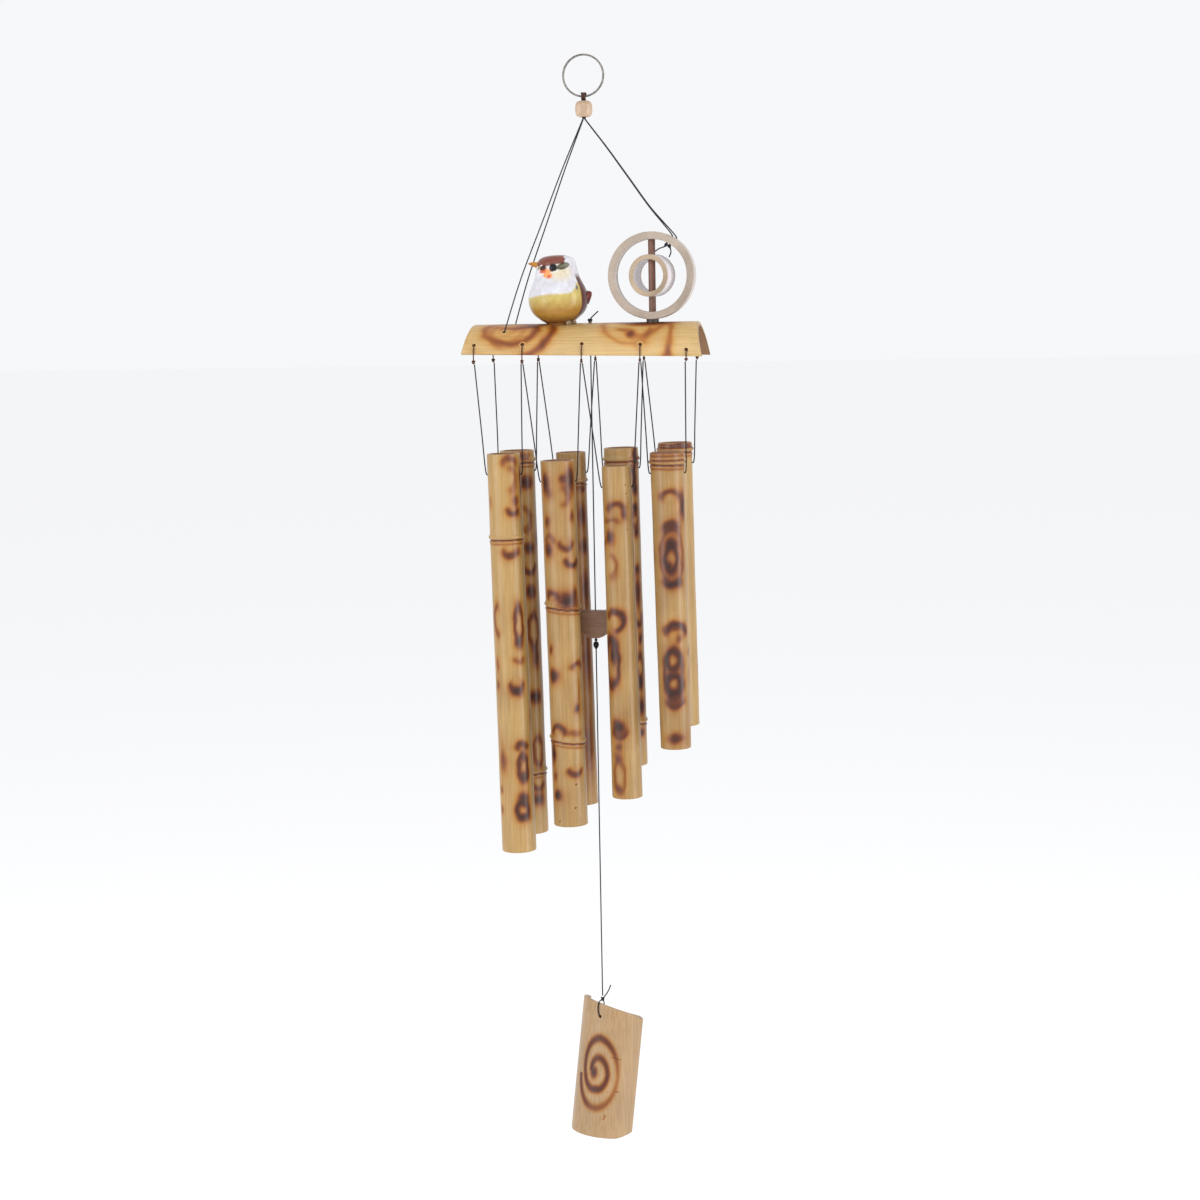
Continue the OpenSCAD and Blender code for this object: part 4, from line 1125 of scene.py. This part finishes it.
# %% Split ring
WIRE_R, COIL_R, COIL_Z = 0.63, 14.25, -13.6
t = np.linspace(0, 4 * np.pi, 260)
shift = 0.6 * np.tanh(6.4 * np.sin((t - 2 * np.pi) / 4))
coil = np.stack([COIL_R * np.cos(t + 0.9), shift, COIL_Z + COIL_R * np.sin(t + 0.9)], axis=-1)
steel, steel_tree, steel_shader, scratches = mottled_material(
    "dull steel wire", 700.0, 6.0, [(0.35, (0.10, 0.095, 0.085)), (0.65, (0.24, 0.23, 0.21))],
    (0.35, 0.2), (0.15, 0.0002))
give(steel_tree, steel_shader, {"Metallic": scaled(steel_tree, scratches, 0.1, 0.9)})
finish_piece(tube_along("hanging_ring_skin", coil, WIRE_R, 14), steel, "ring", "hanging_ring")

# %% Lashing
PIVOT_Z = -27.85
w = np.linspace(0, 2 * np.pi * 3.25, 90)
wraps = np.stack([-1.5 + 3.0 * w / w[-1], 2.25 * np.sin(w), PIVOT_Z + 2.25 * np.cos(w)], axis=-1)
stem = [tube_along(f"stem_{k}", smooth_route([(0.9 * k, 1.0, PIVOT_Z - 1.9), (0.8 * k, 0.4 * k, -31),
                                              (0.8 * k, -0.5 * k, -36), (0.8 * k, 0.5 * k, -42.5)], 6), 0.7)
        for k in (-1, 1)]
finish_piece(joined("ring_lashing_skin", [tube_along("wraps", wraps, 0.55)] + stem),
             brown_cord, "frame", "ring_lashing")
print("ring and lashing")

# %% [markdown]
# ## The painted bird
#
# The bird is a small glazed figure, shaped like a pear with a flat cap. Its body is
# turned, leaning a little, and its beak and tail are pulled out of it. The paint is
# worked out on the same grid as the shape: every patch of colour is a soft-edged
# ellipse in two measures, the distance round from the beak's side and the height.

# %% Shape of the body
BIRD_X, BIRD_TILT = -20.2, math.radians(2.3)
BIRD_SIDES = 288
profile = smooth_route([
    (8.4, -4.5), (8.5, -1), (9.2, 0.4), (11.2, 1.5), (13, 2.7), (14.6, 4), (16.6, 5.6), (18, 7.1),
    (19.3, 9.1), (20.2, 11.1), (20.9, 14), (21.15, 17), (20.9, 20), (20.2, 22.6), (19, 25.6),
    (17.6, 28.4), (16.4, 31), (15.4, 34), (14.6, 38), (14, 41), (13.2, 43.6), (12.1, 45.2),
    (10.2, 46.5), (7.5, 47.4), (4, 47.85), (0.05, 48)], 9)


def tilted(x, z):
    """Turned by the bird's own lean."""
    return (x * math.cos(BIRD_TILT) - z * math.sin(BIRD_TILT),
            x * math.sin(BIRD_TILT) + z * math.cos(BIRD_TILT))


phi = np.linspace(-np.pi, np.pi, BIRD_SIDES, endpoint=False)[None, :]     # 0 at the beak, then the front
r, h = profile[:, 0][:, None], profile[:, 1][:, None]
by = -r * np.sin(phi)
bx, bz = tilted(-r * np.cos(phi), h + 0 * phi)
saddle = np.sqrt(np.clip(BAR_R**2 - by**2, 0, None)) + BAR_AXIS_Z - RIDGE_Z + 0.02
bz = np.maximum(bz, saddle)
body_points = np.stack([bx + BIRD_X, by, bz + RIDGE_Z], axis=-1)
height, round_deg = h + 0 * phi, np.degrees(np.abs(phi)) + 0 * r
print("bird stands", round(float(body_points[..., 2].max() - RIDGE_Z), 1), "mm above the ridge")


# %% Paint
def step(value, edge, soft):
    """0 below an edge, 1 above it, over a soft band."""
    return np.clip((value - edge) / soft + 0.5, 0, 1)


def patch(centre_deg, centre_h, half_deg, half_h, lean=0.0, soft=0.25):
    """1 inside an ellipse of angle and height, 0 outside, with a soft edge; lean slants it."""
    a = (round_deg - centre_deg) / half_deg
    b = (height - centre_h - lean * (round_deg - centre_deg)) / half_h
    return step(1 - np.hypot(a, b), 0, soft)


ochre, yellow, belly_brown, white = ((0.30, 0.155, 0.03), (0.42, 0.33, 0.105), (0.15, 0.06, 0.014),
                                     (0.52, 0.52, 0.57))
breast = (20.6 + 7 * np.clip((round_deg - 118) / 30, 0, 1)**2
          - 1.6 * np.clip((75 - round_deg) / 40, 0, 1))
cap_edge = 40.9 + 0.7 * np.cos(np.radians(3 * round_deg))
cap_back = 124 + 3.0 * (height - 42)
crown = step(7.2 + r * np.cos(phi), 0, 1.0)
cap = np.where(height > 45.6, crown, step(height, cap_edge, 0.5) * step(cap_back, round_deg, 4))
wing = (step(round_deg - 152 - 0.25 * np.abs(height - 18), 0, 3) * step(height, 4, 3)
        * (1 - step(height, 33, 4)))
layers = [
    (1 - step(height, 3.4, 4), belly_brown),
    (step(height, 13.5, 9), yellow),
    (step(height, breast, 1.8), white),
    (patch(112, 36, 30, 6, 0, 0.8) * 0.85, (0.50, 0.44, 0.30)),         # cheek
    (patch(72, 35.6, 17, 3.4, -0.11, 0.35), (0.66, 0.24, 0.06)),        # orange below the eye
    (patch(60, 36.8, 12, 1.7, 0.0, 0.4), (0.55, 0.11, 0.045)),
    (patch(80, 33.1, 5, 1.1, 0.0, 0.4), (0.50, 0.10, 0.05)),
    (patch(54, 34.6, 12, 0.8, 0.05, 0.4), (0.62, 0.60, 0.60)),
    (cap, (0.165, 0.052, 0.036)),
    (cap * step(cap_edge + 1.6 - height, 0, 1.2) * 0.7, (0.11, 0.035, 0.022)),
    (patch(59, 39.3, 13, 1.9, 0.0, 0.4), (0.05, 0.022, 0.013)),         # dark mask round the eye
    (patch(40, 39.3, 6, 1.2, 0.0, 0.5), (0.28, 0.19, 0.07)),
    (patch(52, 41.0, 5, 0.5, 0.05, 0.4), (0.65, 0.6, 0.58)),
    (patch(121, 39.8, 20, 2.3, 0.05, 0.3), (0.03, 0.028, 0.018)),
    (patch(123, 40.0, 15, 1.3, 0.05, 0.3), (0.11, 0.105, 0.065)),
    (patch(92, 38.9, 11.5, 2.8, 0.0, 0.2), (0.006, 0.006, 0.007)),
    (patch(94, 35.9, 12, 0.5, 0.06, 0.4), (0.62, 0.60, 0.56)),
    (patch(145, 24.3, 3.6, 1.5, 0.15, 0.5), (0.14, 0.13, 0.15)),
    (wing, (0.075, 0.02, 0.016))]
paint = np.broadcast_to(np.array(ochre), (*height.shape, 3))
for mask, colour in layers:
    paint = paint * (1 - mask[..., None]) + np.array(colour) * mask[..., None]
faces, ci, cj = grid_faces(len(profile), BIRD_SIDES)
ring_first = np.arange(BIRD_SIDES)
ring_last = (len(profile) - 1) * BIRD_SIDES + ring_first
body = mesh_piece("bird_body", body_points.reshape(-1, 3), faces,
                  np.stack([cj / BIRD_SIDES, ci / len(profile)], axis=-1),
                  {"paint": paint.reshape(-1, 3)}, caps=[ring_first[::-1], ring_last])
print("bird faces:", len(body.data.polygons), "layers of paint:", len(layers))


# %% Beak, eye, tail and toes
def small_part(name, points, colours):
    """A closed piece from rings of points with a colour each; every face takes the whole UV square."""
    rings, n = points.shape[:2]
    faces = grid_faces(rings, n)[0]
    uv = np.tile(np.array([(0, 0), (1, 0), (1, 1), (0, 1)], float), (len(faces), 1, 1))
    return mesh_piece(name, points.reshape(-1, 3), faces, uv, {"paint": colours.reshape(-1, 3)},
                      caps=[np.arange(n)[::-1], (rings - 1) * n + np.arange(n)])


def horn(name, base, tip, radius, flat, colours, droop=0.0, n=32):
    """A tapered horn: rings of radius . (1 - s)^0.62 shrink from base to tip along a line that is
    raised by droop . s (1 - s); flat squeezes it sideways."""
    base, tip = np.asarray(base, float), np.asarray(tip, float)
    s = np.linspace(0, 0.995, 20)[:, None, None]
    along = (tip - base) / np.linalg.norm(tip - base)
    side = np.cross(along, (0, 0, 1))
    side /= np.linalg.norm(side)
    top = np.cross(side, along)
    a = np.linspace(0, 2 * np.pi, n, endpoint=False)[None, :, None]
    line = base + (tip - base) * s + np.array((0, 0, 1)) * droop * s * (1 - s)
    points = line + radius * (1 - s)**0.62 * (flat * np.cos(a) * side + np.sin(a) * top)
    k = np.clip(s * 1.2 + 0.25 * (np.sin(a) < 0), 0, 1)
    return small_part(name, points, np.array(colours[0]) * (1 - k) + np.array(colours[1]) * k)


def lens(name, centre, outward, size, bulge, colour, n=28):
    """A low dome: points at size . s from the centre, raised by bulge . (1 - s^2)."""
    outward = np.asarray(outward, float) / np.linalg.norm(outward)
    side = np.cross((0, 0, 1), outward)
    side /= np.linalg.norm(side)
    top = np.cross(outward, side)
    s = np.linspace(1, 0.02, 9)[:, None, None]
    a = np.linspace(0, 2 * np.pi, n, endpoint=False)[None, :, None]
    points = (np.asarray(centre, float) + size * s * (np.cos(a) * side + 0.92 * np.sin(a) * top)
              + outward * (bulge * (1 - s**2) - 0.15))
    points = np.concatenate([points[:1] - outward * 0.8, points])
    return small_part(name, points, np.broadcast_to(np.array(colour), points.shape))


def on_head(deg, height_mm, front):
    """A point of the bird's skin at an angle from the beak and a height, and its way out."""
    r_here = np.interp(height_mm, profile[:, 1], profile[:, 0])
    a = math.radians(deg) * front
    x, z = tilted(-r_here * math.cos(a), height_mm)
    return (np.array([x + BIRD_X, -r_here * math.sin(a), z + RIDGE_Z]),
            np.array([-math.cos(a), -math.sin(a), 0.12]))


beak_paint = ((0.60, 0.30, 0.03), (0.33, 0.12, 0.02))
tail_paint = ((0.07, 0.02, 0.014), (0.16, 0.035, 0.03))
toe_paint = ((0.55, 0.46, 0.33), (0.22, 0.14, 0.08))
bird_parts = [body,
              horn("beak", (-33.6, -2.9, -144.4), (-41.4, -4.3, -142.7), 2.5, 0.75, beak_paint, 1.2),
              horn("tail", (-3.0, 2.2, -167.6), (2.6, 3.0, -163.3), 5.6, 0.9, tail_paint, 0.5)]
for front in (1, -1):
    bird_parts.append(lens(f"eye_{front}", *on_head(92, 38.9, front), 2.3, 0.75, (0.004, 0.004, 0.005)))
for k, (x, y) in enumerate(((9.2, -8.4), (12.6, -5.6))):
    bird_parts.append(horn(f"toe_{k}", (BIRD_X + x - 1.4, y + 2, -184.6),
                           (BIRD_X + x + 0.6, y - 2.2, -185.3), 1.9, 1.0, toe_paint, 0.4, 20))
bird = joined("bird_skin", bird_parts)

glaze, glaze_tree, glaze_shader = new_material("glazed paint")
place = add(glaze_tree, "ShaderNodeTexCoord").outputs["Object"]
mottle, speck = noise(glaze_tree, 260.0, 4.0, place), noise(glaze_tree, 1500.0, 2.0, place)
shade = ramp(glaze_tree, mottle, [(0.3, (0.86, 0.84, 0.80)), (0.7, (1.05, 1.05, 1.06))])
dots = ramp(glaze_tree, speck, [(0.24, (0.72, 0.64, 0.5)), (0.34, (1, 1, 1))])
colour = mixed(glaze_tree, 1.0, carried(glaze_tree, "paint", "Color"), shade, "MULTIPLY")
give(glaze_tree, glaze_shader, {
    "Base Color": mixed(glaze_tree, 1.0, colour, dots, "MULTIPLY"),
    "Roughness": scaled(glaze_tree, mottle, 0.2, 0.1),
    "Normal": bumped(glaze_tree, mottle, 0.12, 0.0006),
    "Coat Weight": 0.06, "Coat Roughness": 0.1, "Specular IOR Level": 0.2})
bird.data.materials.clear()
finish_piece(bird, glaze, "frame", "bird")
print("bird made")
